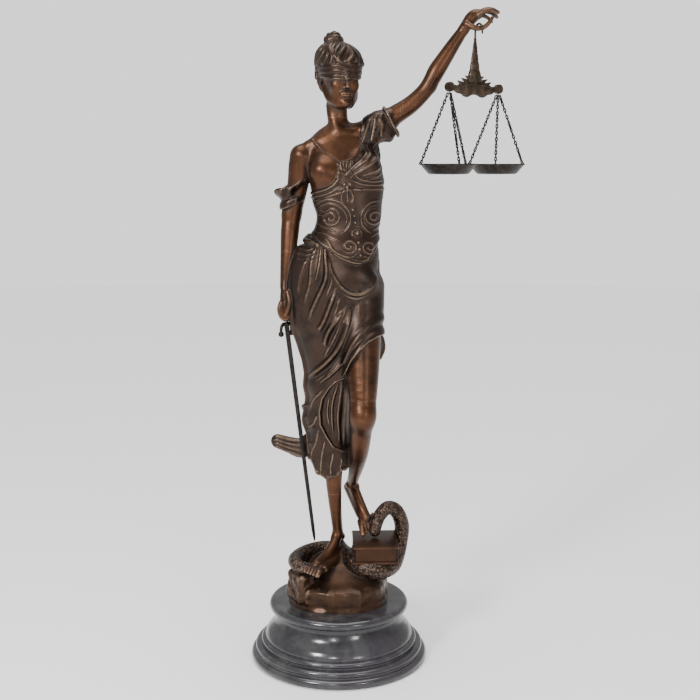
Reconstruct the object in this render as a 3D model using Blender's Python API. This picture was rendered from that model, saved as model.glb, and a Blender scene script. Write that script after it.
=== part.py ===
"""Lady Justice: a bronze figure with sword and scales on a turned black marble plinth.

Metres, +Z up. The origin is at the middle of the plinth's underside, and the figure faces -Y.
"""

import math

import bmesh
import bpy
import numpy as np
from mathutils import Euler, Matrix, Vector

# Driving sizes, in metres
PLINTH_HEIGHT = 0.0935
PLINTH_TOP_RADIUS = 0.110
PLINTH_FOOT_RADIUS = 0.1395
PLINTH_NECK_RADIUS = 0.096
FOOT_BEAD = 0.0068
SECOND_BEAD = 0.005
THIRD_BEAD = 0.0045
BEAD_GAP = 0.0008
TOP_BEAD = 0.0075
PLINTH_SIDES = 36
FIGURE_HEIGHT = 0.9105
SEAT_GAP = 0.0004
BLADE_WIDTH = 0.0072
BLADE_THICKNESS = 0.0034
BLADE_POINT = 0.012
GUARD_WIRE = 0.0026
GUARD_REACH = 0.012
GUARD_DROP = 0.017
BALL_RADIUS = 0.0046
COLLAR_RADIUS = 0.0068
COLLAR_HEIGHT = 0.004
SEAT_MARGIN = 0.0022
SEAT_DEPTH = 0.02
GUARD_TURN = math.radians(82)
HOOK_WIRE = 0.0016
HOOK_BEND = 0.0088
HOOK_AIM = math.radians(-60)
HOOK_DROP = 0.0895
BEAM_HALF_SPAN = 0.047
ROLL_RADIUS = 0.007
EYE_HEIGHT = 0.005
BEAM_THICKNESS = 0.007
PILLAR_HEIGHT = 0.071
PILLAR_RADIUS = 0.0125
SCALE_TURN = math.radians(34)
HOOK_TAIL = 0.006
EYE_RADIUS = 0.0026
CHAIN_RADIUS = 0.0021
CHAIN_DROP = 0.102
CHAIN_KNOTS = 6
CHAIN_ANGLES = {"left": (180, 62, -58), "right": (176, 12, -100)}
PAN_RADIUS = 0.043
PAN_FLOOR_RADIUS = 0.030
PAN_DEPTH = 0.015
PAN_WALL = 0.0016
PAN_SIDES = 32

# The figure is drawn in millimetres over a plinth 87 high, then brought to its own height
MODEL_FLOOR = 93.5
MODEL_HEIGHT = 910.5
UNIT = FIGURE_HEIGHT / MODEL_HEIGHT
GRID_STEP = 2.6
FIGURE_TRIANGLES = 6000
FAR = 1000.0
BAND = 9.0

# Where the sword and the scales meet the figure, in the same millimetres
FIST = Vector((-79.5, -9.0, 537.0))
SWORD_TIP = Vector((-39.0, 34.0, 174.0))
THUMB = Vector((207.0, -11.0, 977.0))


def model_point(x, y, z):
    """A place in the figure's own millimetres as a place in metres."""
    return Vector((x * UNIT, y * UNIT, PLINTH_HEIGHT + (z - MODEL_FLOOR) * UNIT))


def spline(rows, steps=4):
    """A smooth line through the rows, with this many steps from each row to the next."""
    rows = np.asarray(rows, float)
    padded = np.vstack([2 * rows[0] - rows[1], rows, 2 * rows[-1] - rows[-2]])
    t = np.linspace(0, 1, steps, endpoint=False)[:, None]
    found = []
    for a, b, c, d in zip(padded, padded[1:], padded[2:], padded[3:]):
        square = (2 * a - 5 * b + 4 * c - d) * t**2
        cube = (3 * b - a - 3 * c + d) * t**3
        found.append(0.5 * (2 * b + (c - a) * t + square + cube))
    return np.vstack(found + [rows[-1:]])


def soft_min(a, b, soft):
    """The lower of two distances, rounded over where they are within soft of each other."""
    share = np.maximum(soft - np.abs(a - b), 0) / soft
    return np.minimum(a, b) - share * share * soft * 0.25


def soft_max(a, b, soft):
    return -soft_min(-a, -b, soft)


def step(low, high, x):
    """0 below low, 1 above high, smooth between."""
    t = np.clip((x - low) / (high - low), 0, 1)
    return t * t * (3 - 2 * t)


def limb_distance(p, line, flat=None):
    """Distance to a round tapering tube along rows of x, y, z, radius. flat is an axis and how thin it is."""
    best = np.full(len(p), FAR, np.float32)
    for a, b in zip(line, line[1:]):
        along = (b - a)[:3]
        t = np.clip((p - a[:3]) @ along / (along @ along + 1e-9), 0, 1)
        off = p - a[:3] - t[:, None] * along
        if flat is not None:
            axis = np.array(flat[0], float)
            off = off + ((1 / flat[1] - 1) * (off @ axis))[:, None] * axis
        distance = np.sqrt((off * off).sum(1)) - (a[3] + (b[3] - a[3]) * t)
        np.minimum(best, distance, out=best)
    return best


def turned(p, centre, angles):
    """The points in the frame of a form at centre, turned by angles in degrees."""
    frame = np.array(Euler([math.radians(x) for x in angles]).to_matrix())
    return (p - np.array(centre, float)) @ frame


def lump_distance(p, centre, radii, turn=(0, 0, 0)):
    """Distance to an ellipsoid, turned by angles in degrees."""
    q = turned(p, centre, turn) / np.array(radii, float)
    far = np.sqrt((q * q).sum(1)) + 1e-6
    steep = np.sqrt(((q / np.array(radii, float)) ** 2).sum(1)) + 1e-6
    return far * (far - 1) / steep


def block_distance(p, centre, halves, turn=(0, 0, 0), round_edge=2.0):
    """Distance to a box with rounded edges, turned by angles in degrees."""
    q = np.abs(turned(p, centre, turn)) - np.array(halves, float) + round_edge
    outside = np.sqrt((np.maximum(q, 0) ** 2).sum(1))
    return outside + np.minimum(q.max(1), 0) - round_edge


class Loft:
    """An upright form of oval sections, from rows of z, x, y, half width, half depth."""

    def __init__(self, rows, power=2.2, cap=6.0):
        table = spline(rows, 6)
        self.table = table[np.argsort(table[:, 0])]
        self.power = power
        self.cap = cap

    def section(self, z):
        return [np.interp(z, self.table[:, 0], self.table[:, i]) for i in (1, 2, 3, 4)]

    def angle(self, x, z):
        """The angle round the form, 0 in front, of a place seen from the front at x."""
        centre, _, wide, _ = self.section(z)
        return np.arcsin(np.clip((x - centre) / wide, -1, 1))

    def around(self, p):
        """The angle round the form of each point, 0 in front and 90 degrees at +X."""
        x, y, wide, deep = self.section(p[:, 2])
        return np.arctan2((p[:, 0] - x) / wide, -(p[:, 1] - y) / deep)

    def distance(self, p):
        x, y, wide, deep = self.section(p[:, 2])
        u = np.abs(p[:, 0] - x) / wide
        v = np.abs(p[:, 1] - y) / deep
        n = self.power
        rho = (u**n + v**n) ** (1 / n) + 1e-6
        steep = rho ** (1 - n) * np.sqrt((u ** (n - 1) / wide) ** 2 + (v ** (n - 1) / deep) ** 2) + 1e-6
        side = np.clip((rho - 1) / steep, -60, 60)
        ends = np.maximum(self.table[0, 0] - p[:, 2], p[:, 2] - self.table[-1, 0])
        return soft_max(side, ends, self.cap)


class Relief:
    """A height map round a loft, over angle and z, drawn with strokes."""

    ARC = 60.0

    def __init__(self, loft, low, high, pitch):
        self.loft = loft
        self.low = low
        self.pitch = pitch
        self.half = math.pi * self.ARC
        us = np.arange(-self.half, self.half + pitch, pitch)
        vs = np.arange(low, high + pitch, pitch)
        self.u, self.v = np.meshgrid(us, vs, indexing="ij")
        self.height = np.zeros_like(self.u)

    def front(self, rows, height, width, sharp=1.0):
        """A ridge, or a groove where height is negative, along rows of x, z as seen from the front."""
        line = spline(rows, 6)
        angles = self.loft.angle(line[:, 0], line[:, 1])
        self.draw(np.stack([angles * self.ARC, line[:, 1]], 1), height, width, sharp)

    def side(self, rows, height, width, sharp=1.0):
        """The same along rows of degrees round the form, z."""
        line = spline(rows, 6)
        self.draw(np.stack([np.radians(line[:, 0]) * self.ARC, line[:, 1]], 1), height, width, sharp)

    def draw(self, line, height, width, sharp):
        best = np.full(self.u.shape, FAR)
        for a, b in zip(line, line[1:]):
            low = np.minimum(a, b) - width
            high = np.maximum(a, b) + width
            i = slice(*np.searchsorted(self.u[:, 0], (low[0], high[0])))
            j = slice(*np.searchsorted(self.v[0], (low[1], high[1])))
            u, v = self.u[i, j], self.v[i, j]
            du, dv = b - a
            t = np.clip(((u - a[0]) * du + (v - a[1]) * dv) / (du * du + dv * dv + 1e-9), 0, 1)
            away = np.hypot(u - a[0] - t * du, v - a[1] - t * dv)
            best[i, j] = np.minimum(best[i, j], away)
        bell = np.clip(1 - (best / width) ** 2, 0, 1) ** (1.5 * sharp) * height
        if height > 0:
            self.height = np.maximum(self.height, bell)
        else:
            self.height = np.minimum(self.height, bell)

    def read(self, p):
        i = np.clip((self.loft.around(p) * self.ARC + self.half) / self.pitch, 0, self.u.shape[0] - 1.01)
        j = np.clip((p[:, 2] - self.low) / self.pitch, 0, self.u.shape[1] - 1.01)
        i0 = i.astype(int)
        j0 = j.astype(int)
        s = i - i0
        t = j - j0
        h = self.height
        near = h[i0, j0] * (1 - s) + h[i0 + 1, j0] * s
        far = h[i0, j0 + 1] * (1 - s) + h[i0 + 1, j0 + 1] * s
        return near * (1 - t) + far * t


class Clay:
    """The signed distance to a form, in millimetres, held at many points. Negative is inside."""

    def __init__(self, points):
        self.points = points
        self.depth = np.full(len(points), FAR, np.float32)

    def near(self, low, high, reach):
        inside = (self.points > np.asarray(low) - reach) & (self.points < np.asarray(high) + reach)
        return np.nonzero(inside.all(axis=1))[0]

    def merge(self, index, distance, soft, cut=False):
        if cut:
            self.depth[index] = soft_max(self.depth[index], -distance, soft)
        else:
            self.depth[index] = soft_min(self.depth[index], distance, soft)

    def limb(self, rows, soft=4.0, steps=4, flat=None, cut=False):
        line = spline(rows, steps)
        index = self.near(line[:, :3].min(0), line[:, :3].max(0), line[:, 3].max() + soft + BAND)
        self.merge(index, limb_distance(self.points[index], line, flat), soft, cut)

    def lump(self, centre, radii, turn=(0, 0, 0), soft=6.0, cut=False):
        index = self.near(centre, centre, max(radii) + soft + BAND)
        self.merge(index, lump_distance(self.points[index], centre, radii, turn), soft, cut)

    def block(self, centre, halves, turn=(0, 0, 0), soft=2.0, round_edge=2.0, cut=False):
        index = self.near(centre, centre, math.hypot(*halves) + soft + BAND)
        distance = block_distance(self.points[index], centre, halves, turn, round_edge)
        self.merge(index, distance, soft, cut)

    def loft(self, form, soft=4.0, relief=None, keep=None):
        table = form.table
        low = table[:, 1:3] - table[:, 3:5]
        high = table[:, 1:3] + table[:, 3:5]
        index = self.near((*low.min(0), table[0, 0]), (*high.max(0), table[-1, 0]), soft + BAND + 8)
        p = self.points[index]
        distance = form.distance(p)
        if relief is not None:
            distance = distance - relief.read(p)
        if keep is not None:
            distance = soft_max(distance, keep(p), 2.0)
        self.merge(index, distance, soft)


SKIRT = Loft([
    (296, -14, 12, 28, 27), (312, -13, 12, 31, 30), (345, -13, 12, 32.5, 31), (363, -13.5, 12, 33, 31),
    (382, -17, 10, 36, 33), (401, -14, 8, 35, 34), (420, -11, 6, 35.5, 36), (440, -9, 4, 41, 38),
    (458, -4, 3, 44.5, 40), (477, -2, 3, 50, 42), (496, 0, 3, 59.5, 44), (515, -3.2, 3, 63.4, 46),
    (533, -6, 3, 66, 48), (552, -7.8, 4, 67, 50), (570, -8.8, 4, 67.8, 51), (590, -8.8, 4, 68.2, 51.5),
    (607, -7.7, 4, 68.3, 50.5), (626, -5.3, 4, 67.4, 49), (644, -2.3, 3, 64.4, 46), (656, 0, 2, 60, 43),
])

TRUNK = Loft([
    (600, -6, 3, 62, 46), (630, -1, 2, 59, 43), (650, 3, 1, 54, 41), (665, 8, 0, 49.5, 39),
    (680, 13, 0, 46, 37.5), (698, 16.4, 0, 46, 37), (716, 14.5, 0, 49, 37.5), (735, 13.4, 1, 52.5, 39),
    (752, 12.6, 2, 55, 40), (770, 9, 4, 55, 38), (788, 5, 6, 54, 33), (804, 4, 8, 50, 28),
    (818, 3, 9, 40, 23), (830, 2, 9, 26, 18),
], power=2.1)


def cloth_edge(x):
    """How low the skirt's slit edge hangs over the bare thigh, at x."""
    return np.interp(x, (-6, 9, 20, 33, 46, 60), (436, 455, 477, 493, 504, 511))


def skirt_folds():
    """The skirt's folds: long sweeps from the belly to the outer knee, and a wavy, ruffled back edge."""
    relief = Relief(SKIRT, 286, 660, 1.0)
    relief.front([(-29, 650), (-36, 620), (-40, 585), (-47, 560)], 3.0, 5)
    relief.front([(-18, 648), (-15, 600), (-29, 562), (-41, 533)], 3.4, 5)
    relief.front([(-2, 580), (-19, 533), (-28, 515)], 3.4, 5)
    relief.front([(7, 546), (-13, 513), (-19, 491)], 4.0, 6)
    relief.front([(18, 549), (11, 515), (0, 490), (-19, 465), (-41, 443)], 5.0, 7)
    relief.front([(33, 526), (21, 501), (13, 479), (-6, 455), (-22, 440)], 4.0, 6)
    relief.front([(9, 447), (-2, 442), (-12, 432), (-21, 415), (-25, 394), (-24, 374), (-16, 357),
                  (-6, 341), (7, 332), (16, 329)], 3.6, 5)
    relief.front([(-2, 425), (-8, 400), (-8, 370), (-2, 350)], 2.6, 6)
    relief.front([(10, 420), (6, 390), (8, 355)], 2.6, 6)
    relief.front([(24, 592), (30, 560), (28, 532)], 2.4, 5)
    relief.front([(40, 590), (44, 560), (40, 530)], 2.4, 5)
    for angle in range(-170, -70, 18):
        lean = 10 * math.sin(angle)
        relief.side([(angle, 610), (angle + lean, 500), (angle + 6, 400), (angle - lean, 300)], 3.4, 8)
    for angle in range(100, 190, 18):
        lean = 8 * math.cos(angle)
        relief.side([(angle, 600), (angle + lean, 480), (angle - 4, 380), (angle, 300)], 3.4, 8)
    return relief


def corset_relief():
    """The corset: a raised shell over the bodice, edged by a lobe in front, with scrollwork."""
    relief = Relief(TRUNK, 600, 832, 1.0)
    relief.front([(-26, 650), (-6, 640), (8, 633), (26, 630), (44, 634), (58, 646)], 2.2, 3)
    relief.front([(-30, 735), (-10, 741), (8, 744), (26, 742), (60, 744)], 2.2, 4)
    for side, centre in ((-1, (-10, 696)), (1, (52, 698))):
        curl = []
        for i in range(26):
            turn = side * (0.3 * i - 1.2)
            size = 19 - 0.62 * i
            curl.append((centre[0] + size * 0.8 * math.sin(turn), centre[1] + size * math.cos(turn)))
        relief.front(curl, 1.8, 2.4)
    for side in (-1, 1):
        curl = []
        for i in range(22):
            turn = side * (0.3 * i + 2.0)
            size = 13 - 0.5 * i
            curl.append((27 + side * 14 + size * math.sin(turn), 656 + size * math.cos(turn)))
        relief.front(curl, 1.6, 2.2)
    return relief


SKIRT_FOLDS = skirt_folds()
CORSET = corset_relief()


def add_drapery(clay):
    """The skirt, bodice and sleeves."""
    clay.loft(TRUNK, 5, CORSET)
    clay.loft(SKIRT, 5, SKIRT_FOLDS)
    thigh_cloth = spline([(36, -2, 590, 33), (36, -16, 540, 32), (37, -34, 490, 31), (38, -50, 440, 28)])
    index = clay.near((0, -60, 430), (75, 40, 620), 44)
    p = clay.points[index]
    waves = 1.6 * np.sin((p[:, 2] + 0.9 * p[:, 0]) / 4.2) * step(560, 500, p[:, 2])
    over = soft_max(limb_distance(p, thigh_cloth) - 1.6 - waves, cloth_edge(p[:, 0]) - p[:, 2], 2.0)
    clay.merge(index, over, 5)
    clay.limb([(58, 12, 514, 7), (66, 14, 494, 6), (64, 15, 475, 3)], 3, flat=((0, 1, 0), 0.7))
    clay.lump((26, -38, 612), (35, 14, 29), soft=12)
    clay.limb([(-12, -45, 640, 3), (0, -50, 612, 3.4), (14, -52, 592, 4), (30, -51, 585, 4), (46, -44, 592, 3)], 4)
    clay.limb([(50, -36, 700, 3), (30, -41, 744, 4), (12, -42, 741, 5), (-12, -38, 737, 4), (-38, -20, 730, 3)], 4)
    for start, end, size in (((-42, 742), (-96, 733), 3.2), ((-48, 728), (-88, 722), 2.4)):
        ring = []
        for i in range(17):
            turn = i * math.tau / 16
            x = (start[0] + end[0]) / 2 + (end[0] - start[0]) / 2 * math.cos(turn)
            z = (start[1] + end[1]) / 2 + (end[1] - start[1]) / 2 * math.cos(turn) + 2.5 * math.sin(3 * turn)
            ring.append((x, 10 - 20 * math.sin(turn), z, size))
        clay.limb(ring, 4, 2)
    clay.lump((-70, 10, 733), (20, 17, 8), (0, 10, 0), 5)
    clay.limb([(58, 4, 822, 23), (72, 4, 836, 20), (82, 4, 843, 17.5)], 6)
    clay.limb([(76, 2, 836, 17), (75, 2, 822, 14), (72, 4, 814, 9)], 5)
    clay.limb([(88, -14, 848, 3), (91, 2, 852, 3), (90, 18, 844, 3), (87, 20, 826, 3), (84, 4, 810, 3),
               (86, -12, 818, 3), (89, -18, 834, 3), (88, -14, 848, 3)], 3)
    clay.limb([(-38, 27, 344, 17), (-58, 32, 330, 17), (-78, 35, 334, 14), (-96, 37, 340, 12)], 4,
              flat=((0.1, 1, 0), 0.45))


def add_body(clay):
    """Shoulders, bust, arms, legs and feet."""
    clay.limb([(-54, 5, 786, 19), (-24, 8, 808, 15), (2, 9, 822, 15), (30, 8, 822, 15), (58, 5, 824, 19)], 8)
    clay.lump((-23, -27, 768), (21, 19, 21), soft=8)
    clay.lump((42, -27, 778), (21, 19, 20), soft=8)
    clay.limb([(-55, 5, 786, 19.5), (-61, 9, 745, 17), (-70, 13, 706, 14.8), (-73, 9, 676, 14.2),
               (-77, 1, 636, 11.5), (-81, -5, 598, 8.2)], 5)
    clay.limb([(-81, -5, 598, 8), (-81, -8, 582, 10.5), (-80, -9, 562, 11.5), (-79, -9, 546, 9.5)], 4,
              flat=((1, 0, 0), 0.8))
    for i in range(4):
        clay.limb([(-87, -16 + 5 * i, 566, 4), (-88, -17 + 5 * i, 551, 4), (-79, -18 + 5 * i, 544, 3.8)], 2, 3)
    clay.limb([(-74, -14, 580, 4.5), (-71, -21, 566, 4.2), (-75, -23, 551, 3.8)], 3)
    clay.limb([(58, 5, 824, 20), (82, 4, 846, 15), (108, 2, 863, 13.2), (138, 0, 897, 12),
               (152, 0, 921, 12.4), (172, 0, 952, 10), (187.7, 0, 974.7, 8)], 5)
    clay.limb([(188, 0, 975, 8), (197, 1, 986, 9.5), (206, 1, 991, 8)], 4, flat=((0, 1, 0), 0.9))
    clay.limb([(208, -9, 990, 3.8), (220, -10, 998, 3.6), (233, -9, 998, 3)], 2)
    clay.limb([(208, -3, 992, 4), (222, -3, 1000, 3.7), (236, -3, 996, 3)], 2)
    clay.limb([(208, 4, 992, 3.8), (221, 4, 998, 3.5), (236, 4, 988, 3)], 2)
    clay.limb([(206, 9, 988, 3.4), (219, 10, 991, 3.2), (229, 10, 982, 2.8)], 2)
    clay.limb([(192, -7, 978, 5), (199, -10.5, 974, 4.2), (207, -11, 971.9, 3.8), (216, -11, 974, 3.5),
               (226, -9, 984, 3)], 3)
    clay.limb([(-28, 4, 560, 42), (-22, -2, 500, 34), (-15, -6, 440, 27), (-11, -7, 392, 22)], 6)
    clay.limb([(-11, -7, 392, 22), (-9, 2, 345, 21.5), (-8, 6, 300, 18), (-6, 8, 260, 13), (-3, 12, 215, 9.2),
               (-1, 16, 188, 8.8)], 5)
    clay.limb([(3, 26, 172, 11), (-6, 6, 168, 11), (-24, -22, 163, 10), (-38, -44, 158, 9)], 4,
              flat=((0, 0, 1), 0.86))
    clay.limb([(-1, 14, 190, 9), (-12, -6, 174, 9), (-26, -26, 163, 8)], 6)
    for i in range(5):
        x = -50 + 5.4 * i
        y = -38 - 3 * i
        reach = 13 + 1.8 * i
        clay.limb([(x, y, 157 - 0.6 * i, 4 + 0.3 * i), (x - 0.26 * reach, y - 0.43 * reach, 157 - i, 4 + 0.3 * i),
                   (x - 0.52 * reach, y - 0.86 * reach, 153 - i, 3.2 + 0.4 * i)], 1.6, 3)
    clay.limb([(36, -2, 585, 32), (36, -18, 530, 30), (37, -36, 470, 27), (38, -54, 418, 23.5),
               (38, -58, 396, 21.5)], 5)
    clay.limb([(38, -56, 398, 21), (35, -34, 366, 20.5), (30, -6, 330, 19), (26, 22, 298, 13.5),
               (22, 42, 272, 9.4), (20, 50, 262, 9)], 5)
    clay.limb([(16, 64, 260, 9), (23, 46, 252, 10), (32, 24, 237, 10), (41, 6, 219, 9.5)], 4,
              flat=((0.2, 0.4, 0.9), 0.85))
    for i in range(5):
        x = 33 + 5.2 * i
        clay.limb([(x, 4 + 2.4 * i, 218 + 2.4 * i, 5 - 0.2 * i), (x + 3, -8 + 3 * i, 210 + 2.6 * i, 5 - 0.3 * i),
                   (x + 5, -16 + 4 * i, 201 + 2.4 * i, 4.4 - 0.3 * i)], 1.6, 3)


def add_head(clay):
    """Head and neck, turned a little to the figure's left, with a blindfold and swept-up hair."""
    clay.limb([(2, 8, 818, 20), (1.5, 7, 838, 16.6), (3, 2, 862, 16)], 8)
    face = Vector((math.sin(math.radians(15)), -math.cos(math.radians(15)), 0))
    side = Vector((-face.y, face.x, 0))
    middle = Vector((6, 4, 0))
    share = 0.95

    def spot(out, across, z):
        place = middle + share * (out * face + across * side)
        return (place.x, place.y, 952 + share * (z - 952))

    turn = (0, 0, 15)
    clay.lump(spot(-4, 0, 913), (31, 37, 36), turn, 6)
    clay.lump(spot(10, 0, 888), (25, 27, 35), turn, 8)
    clay.lump(spot(26, 0, 861), (10, 9, 8), turn, 10)
    clay.limb([(*spot(36, 0, 904), 3.4), (*spot(40, 0, 893), 3.8), (*spot(43, 0, 885), 4.4)], 5)
    clay.limb([(*spot(33, -8, 872), 2.4), (*spot(37, 0, 873.5), 3), (*spot(33, 8, 872), 2.4)], 3)
    band = []
    for i in range(25):
        around = i * math.tau / 24
        dip = 4.5 * max(0, math.cos(around))
        band.append((*spot(-2 + 36.5 * math.cos(around), 31.5 * math.sin(around), 908 - dip), 2.2))
    for level in (-8, 0, 8):
        clay.limb([(x, y, z + level, 6) for x, y, z, _ in band], 2, 1)
    for i in range(14):
        around = math.radians(-150 + i * 300 / 13)
        x, y, _ = spot(-3 + 38 * math.cos(around), 33 * math.sin(around), 0)
        mid_x, mid_y, _ = spot(-6 + 33 * math.cos(around + 0.35), 30 * math.sin(around + 0.35), 0)
        clay.limb([(x, y, 919, 4), (mid_x, mid_y, 936, 4.4), (mid_x * 0.5, mid_y * 0.5 + 4, 949, 4)], 3, 3)
    clay.lump((2, 13, 927), (30, 33, 25), soft=6)
    clay.lump((-6.8, 14, 958), (17, 16, 11.5), soft=4)
    clay.limb([(-24, 16, 906, 5), (-26, 22, 892, 5), (-22, 26, 884, 3.5)], 4)


def add_ground(clay):
    """Rocky ground, a snake and a book, cast with the figure."""
    rock = Loft([(MODEL_FLOOR - 4, -1, 1, 79, 73), (108, -1, 1, 79.5, 73), (120, -1, 1, 79, 72), (127, -1, 4, 76, 68),
                 (136, 0, 9, 69, 57), (146, 2, 14, 59, 46), (156, 2, 18, 44, 36), (162, 2, 20, 28, 26)],
                power=2.3, cap=0.6)
    index = clay.near((-85, -80, 80), (85, 85, 165), 20)
    p = clay.points[index]
    around = np.arctan2(p[:, 0], -p[:, 1])
    chips = 2.0 * np.abs(np.sin(4.5 * around + 0.6)) + 1.2 * np.sin(p[:, 0] / 7) * step(110, 130, p[:, 2])
    clay.merge(index, rock.distance(p) + 0.6 + chips, 3)
    clay.block((-60, -33, 128), (15, 22, 26), (0, 5, 36), 3, 3)
    clay.block((-42, -50, 120), (14, 12, 14), (4, -6, 24), 2, 3)
    clay.limb([(-50, -42, 156, 8), (-64, -36, 159, 10), (-68, -10, 160, 11.5), (-52, 20, 161, 12),
               (-26, 36, 162, 12), (2, 32, 161, 12), (14, 4, 160, 12), (30, -26, 153, 12.5), (51, -45, 149, 12.5),
               (73, -41, 146, 12.5), (91, -20, 147, 12.5), (97, 4, 155, 12.4), (100, 18, 176, 12.2),
               (101, 20, 206, 11.8), (92, 14, 231, 11.4), (78, 8, 238.5, 11), (66, 0, 230, 10.4),
               (60, -8, 218, 9.6), (57, -10, 206, 9)], 3, 5)
    clay.lump((-48, -42, 154), (15, 10, 8), (0, 0, 30), 4)
    clay.block((57, -13, 180.5), (36, 34, 15.5), (5, 0, 2), 1.5, 1.5)


def figure_depth(points):
    clay = Clay(points)
    add_ground(clay)
    add_body(clay)
    add_drapery(clay)
    add_head(clay)
    return clay.depth


def sampled(low, high, pitch, coarse=4):
    """Signed distances on a fine grid, worked out only near the surface."""
    low = np.asarray(low, float)
    big = pitch * coarse
    counts = np.ceil((np.asarray(high, float) - low) / big).astype(int) + 1
    grid = np.stack(np.meshgrid(*(np.arange(n) for n in counts), indexing="ij"), -1).reshape(-1, 3)
    rough = figure_depth((low + grid * big).astype(np.float32)).reshape(counts)
    near = np.abs(rough) < big * 1.8 + 4
    cells = np.zeros(counts - 1, bool)
    for shift in np.ndindex(2, 2, 2):
        cells |= near[tuple(slice(s, n - 1 + s) for s, n in zip(shift, counts))]
    block = np.ones((coarse,) * 3, bool)
    values = np.full((counts - 1) * coarse + 1, FAR, np.float32)
    active = np.zeros(values.shape, bool)
    values[:-1, :-1, :-1] = np.kron(rough[:-1, :-1, :-1], block)
    spread = np.kron(cells, block)
    for shift in np.ndindex(2, 2, 2):
        active[tuple(slice(s, n + s) for s, n in zip(shift, spread.shape))] |= spread
    index = np.nonzero(active)
    values[index] = figure_depth((low + np.stack(index, 1) * pitch).astype(np.float32))
    return values, low


def surface(values, low, pitch):
    """Corners and four-sided faces where the values cross zero, with one corner in each cell crossed."""
    rings = (((0, 0, 0), (0, -1, 0), (0, -1, -1), (0, 0, -1)), ((0, 0, 0), (0, 0, -1), (-1, 0, -1), (-1, 0, 0)),
             ((0, 0, 0), (-1, 0, 0), (-1, -1, 0), (0, -1, 0)))
    inside = values < 0
    cells, places = [], []
    for axis, ring in enumerate(rings):
        unit = np.eye(3, dtype=int)[axis]
        front = tuple(slice(0, n - u) for u, n in zip(unit, values.shape))
        back = tuple(slice(u, None) for u in unit)
        where = np.stack(np.nonzero(inside[front] != inside[back]), 1)
        a = values[tuple(where.T)]
        b = values[tuple((where + unit).T)]
        corners = where[:, None, :] + np.array(ring)
        corners = np.where((a < 0)[:, None, None], corners, corners[:, ::-1])
        cells.append(corners)
        place = where + (a / (a - b))[:, None] * unit
        places.append(np.repeat(place[:, None, :], 4, 1))
    cells = np.concatenate(cells)
    places = np.concatenate(places).reshape(-1, 3)
    names = (cells[..., 0].astype(np.int64) * values.shape[1] + cells[..., 1]) * values.shape[2] + cells[..., 2]
    _, index, count = np.unique(names.ravel(), return_inverse=True, return_counts=True)
    index = index.ravel()
    points = np.stack([np.bincount(index, weights=places[:, i]) for i in range(3)], 1) / count[:, None]
    return low + points * pitch, index.reshape(-1, 4)


def tidy_corners():
    """For each of the 256 patterns of a cell's corners, whether its surface would pinch."""
    corners = list(np.ndindex(2, 2, 2))
    pinched = np.zeros(256, bool)
    for pattern in range(256):
        for wanted in (0, 1):
            chosen = [c for i, c in enumerate(corners) if (pattern >> i & 1) == wanted]
            reached = chosen[:1]
            for spot in reached:
                beside = [c for c in chosen if c not in reached and sum(a != b for a, b in zip(c, spot)) == 1]
                reached.extend(beside)
            if len(reached) < len(chosen):
                pinched[pattern] = True
        for i, c in enumerate(corners):
            for j, d in enumerate(corners):
                apart = [k for k in range(3) if c[k] != d[k]]
                if len(apart) != 2:
                    continue
                others = [tuple(d[k] if k == m else c[k] for k in range(3)) for m in apart]
                same = pattern >> i & 1 and pattern >> j & 1
                if same and not any(pattern >> corners.index(o) & 1 for o in others):
                    pinched[pattern] = True
    return pinched


def unpinched(values):
    """The values with every cell filled where the surface would touch itself."""
    pinched = tidy_corners()
    for _ in range(20):
        inside = values < 0
        pattern = np.zeros([n - 1 for n in values.shape], np.uint8)
        for i, shift in enumerate(np.ndindex(2, 2, 2)):
            part = inside[tuple(slice(s, n - 1 + s) for s, n in zip(shift, values.shape))]
            pattern |= part.astype(np.uint8) << i
        where = np.stack(np.nonzero(pinched[pattern]), 1)
        if not len(where):
            break
        for shift in np.ndindex(2, 2, 2):
            spot = tuple((where + shift).T)
            values[spot] = np.minimum(values[spot], -0.1)
    return values


def material(name, colour, roughness, metallic):
    made = bpy.data.materials.new(name)
    made.use_nodes = True
    shader = made.node_tree.nodes["Principled BSDF"]
    shader.inputs["Base Color"].default_value = (*colour, 1)
    shader.inputs["Roughness"].default_value = roughness
    shader.inputs["Metallic"].default_value = metallic
    made.diffuse_color = (*colour, 1)
    return made


def add_object(name, bm, made, smooth_angle=40):
    """Close the mesh up as an object, its faces turned outward."""
    bmesh.ops.recalc_face_normals(bm, faces=bm.faces)
    mesh = bpy.data.meshes.new(name)
    bm.to_mesh(mesh)
    bm.free()
    mesh.materials.append(made)
    mesh.shade_smooth()
    mesh.set_sharp_from_angle(angle=math.radians(smooth_angle))
    piece = bpy.data.objects.new(name, mesh)
    bpy.context.scene.collection.objects.link(piece)
    return piece


def lathe(profile, sides):
    """A bmesh turned about Z from points of radius, z, the first and last on the axis."""
    bm = bmesh.new()
    verts = [bm.verts.new((r, 0, z)) for r, z in profile]
    edges = [bm.edges.new(pair) for pair in zip(verts, verts[1:])]
    bmesh.ops.spin(bm, geom=verts + edges, axis=(0, 0, 1), cent=(0, 0, 0), steps=sides, angle=math.tau,
                   use_merge=True)
    bmesh.ops.remove_doubles(bm, verts=bm.verts, dist=1e-6)
    return bm


def arc(r, z, radius, start, end, count):
    """Points along an arc of a moulding, from one angle to another in degrees, 0 pointing outward."""
    turns = [math.radians(start + (end - start) * i / (count - 1)) for i in range(count)]
    return [(r + radius * math.cos(a), z + radius * math.sin(a)) for a in turns]


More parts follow.
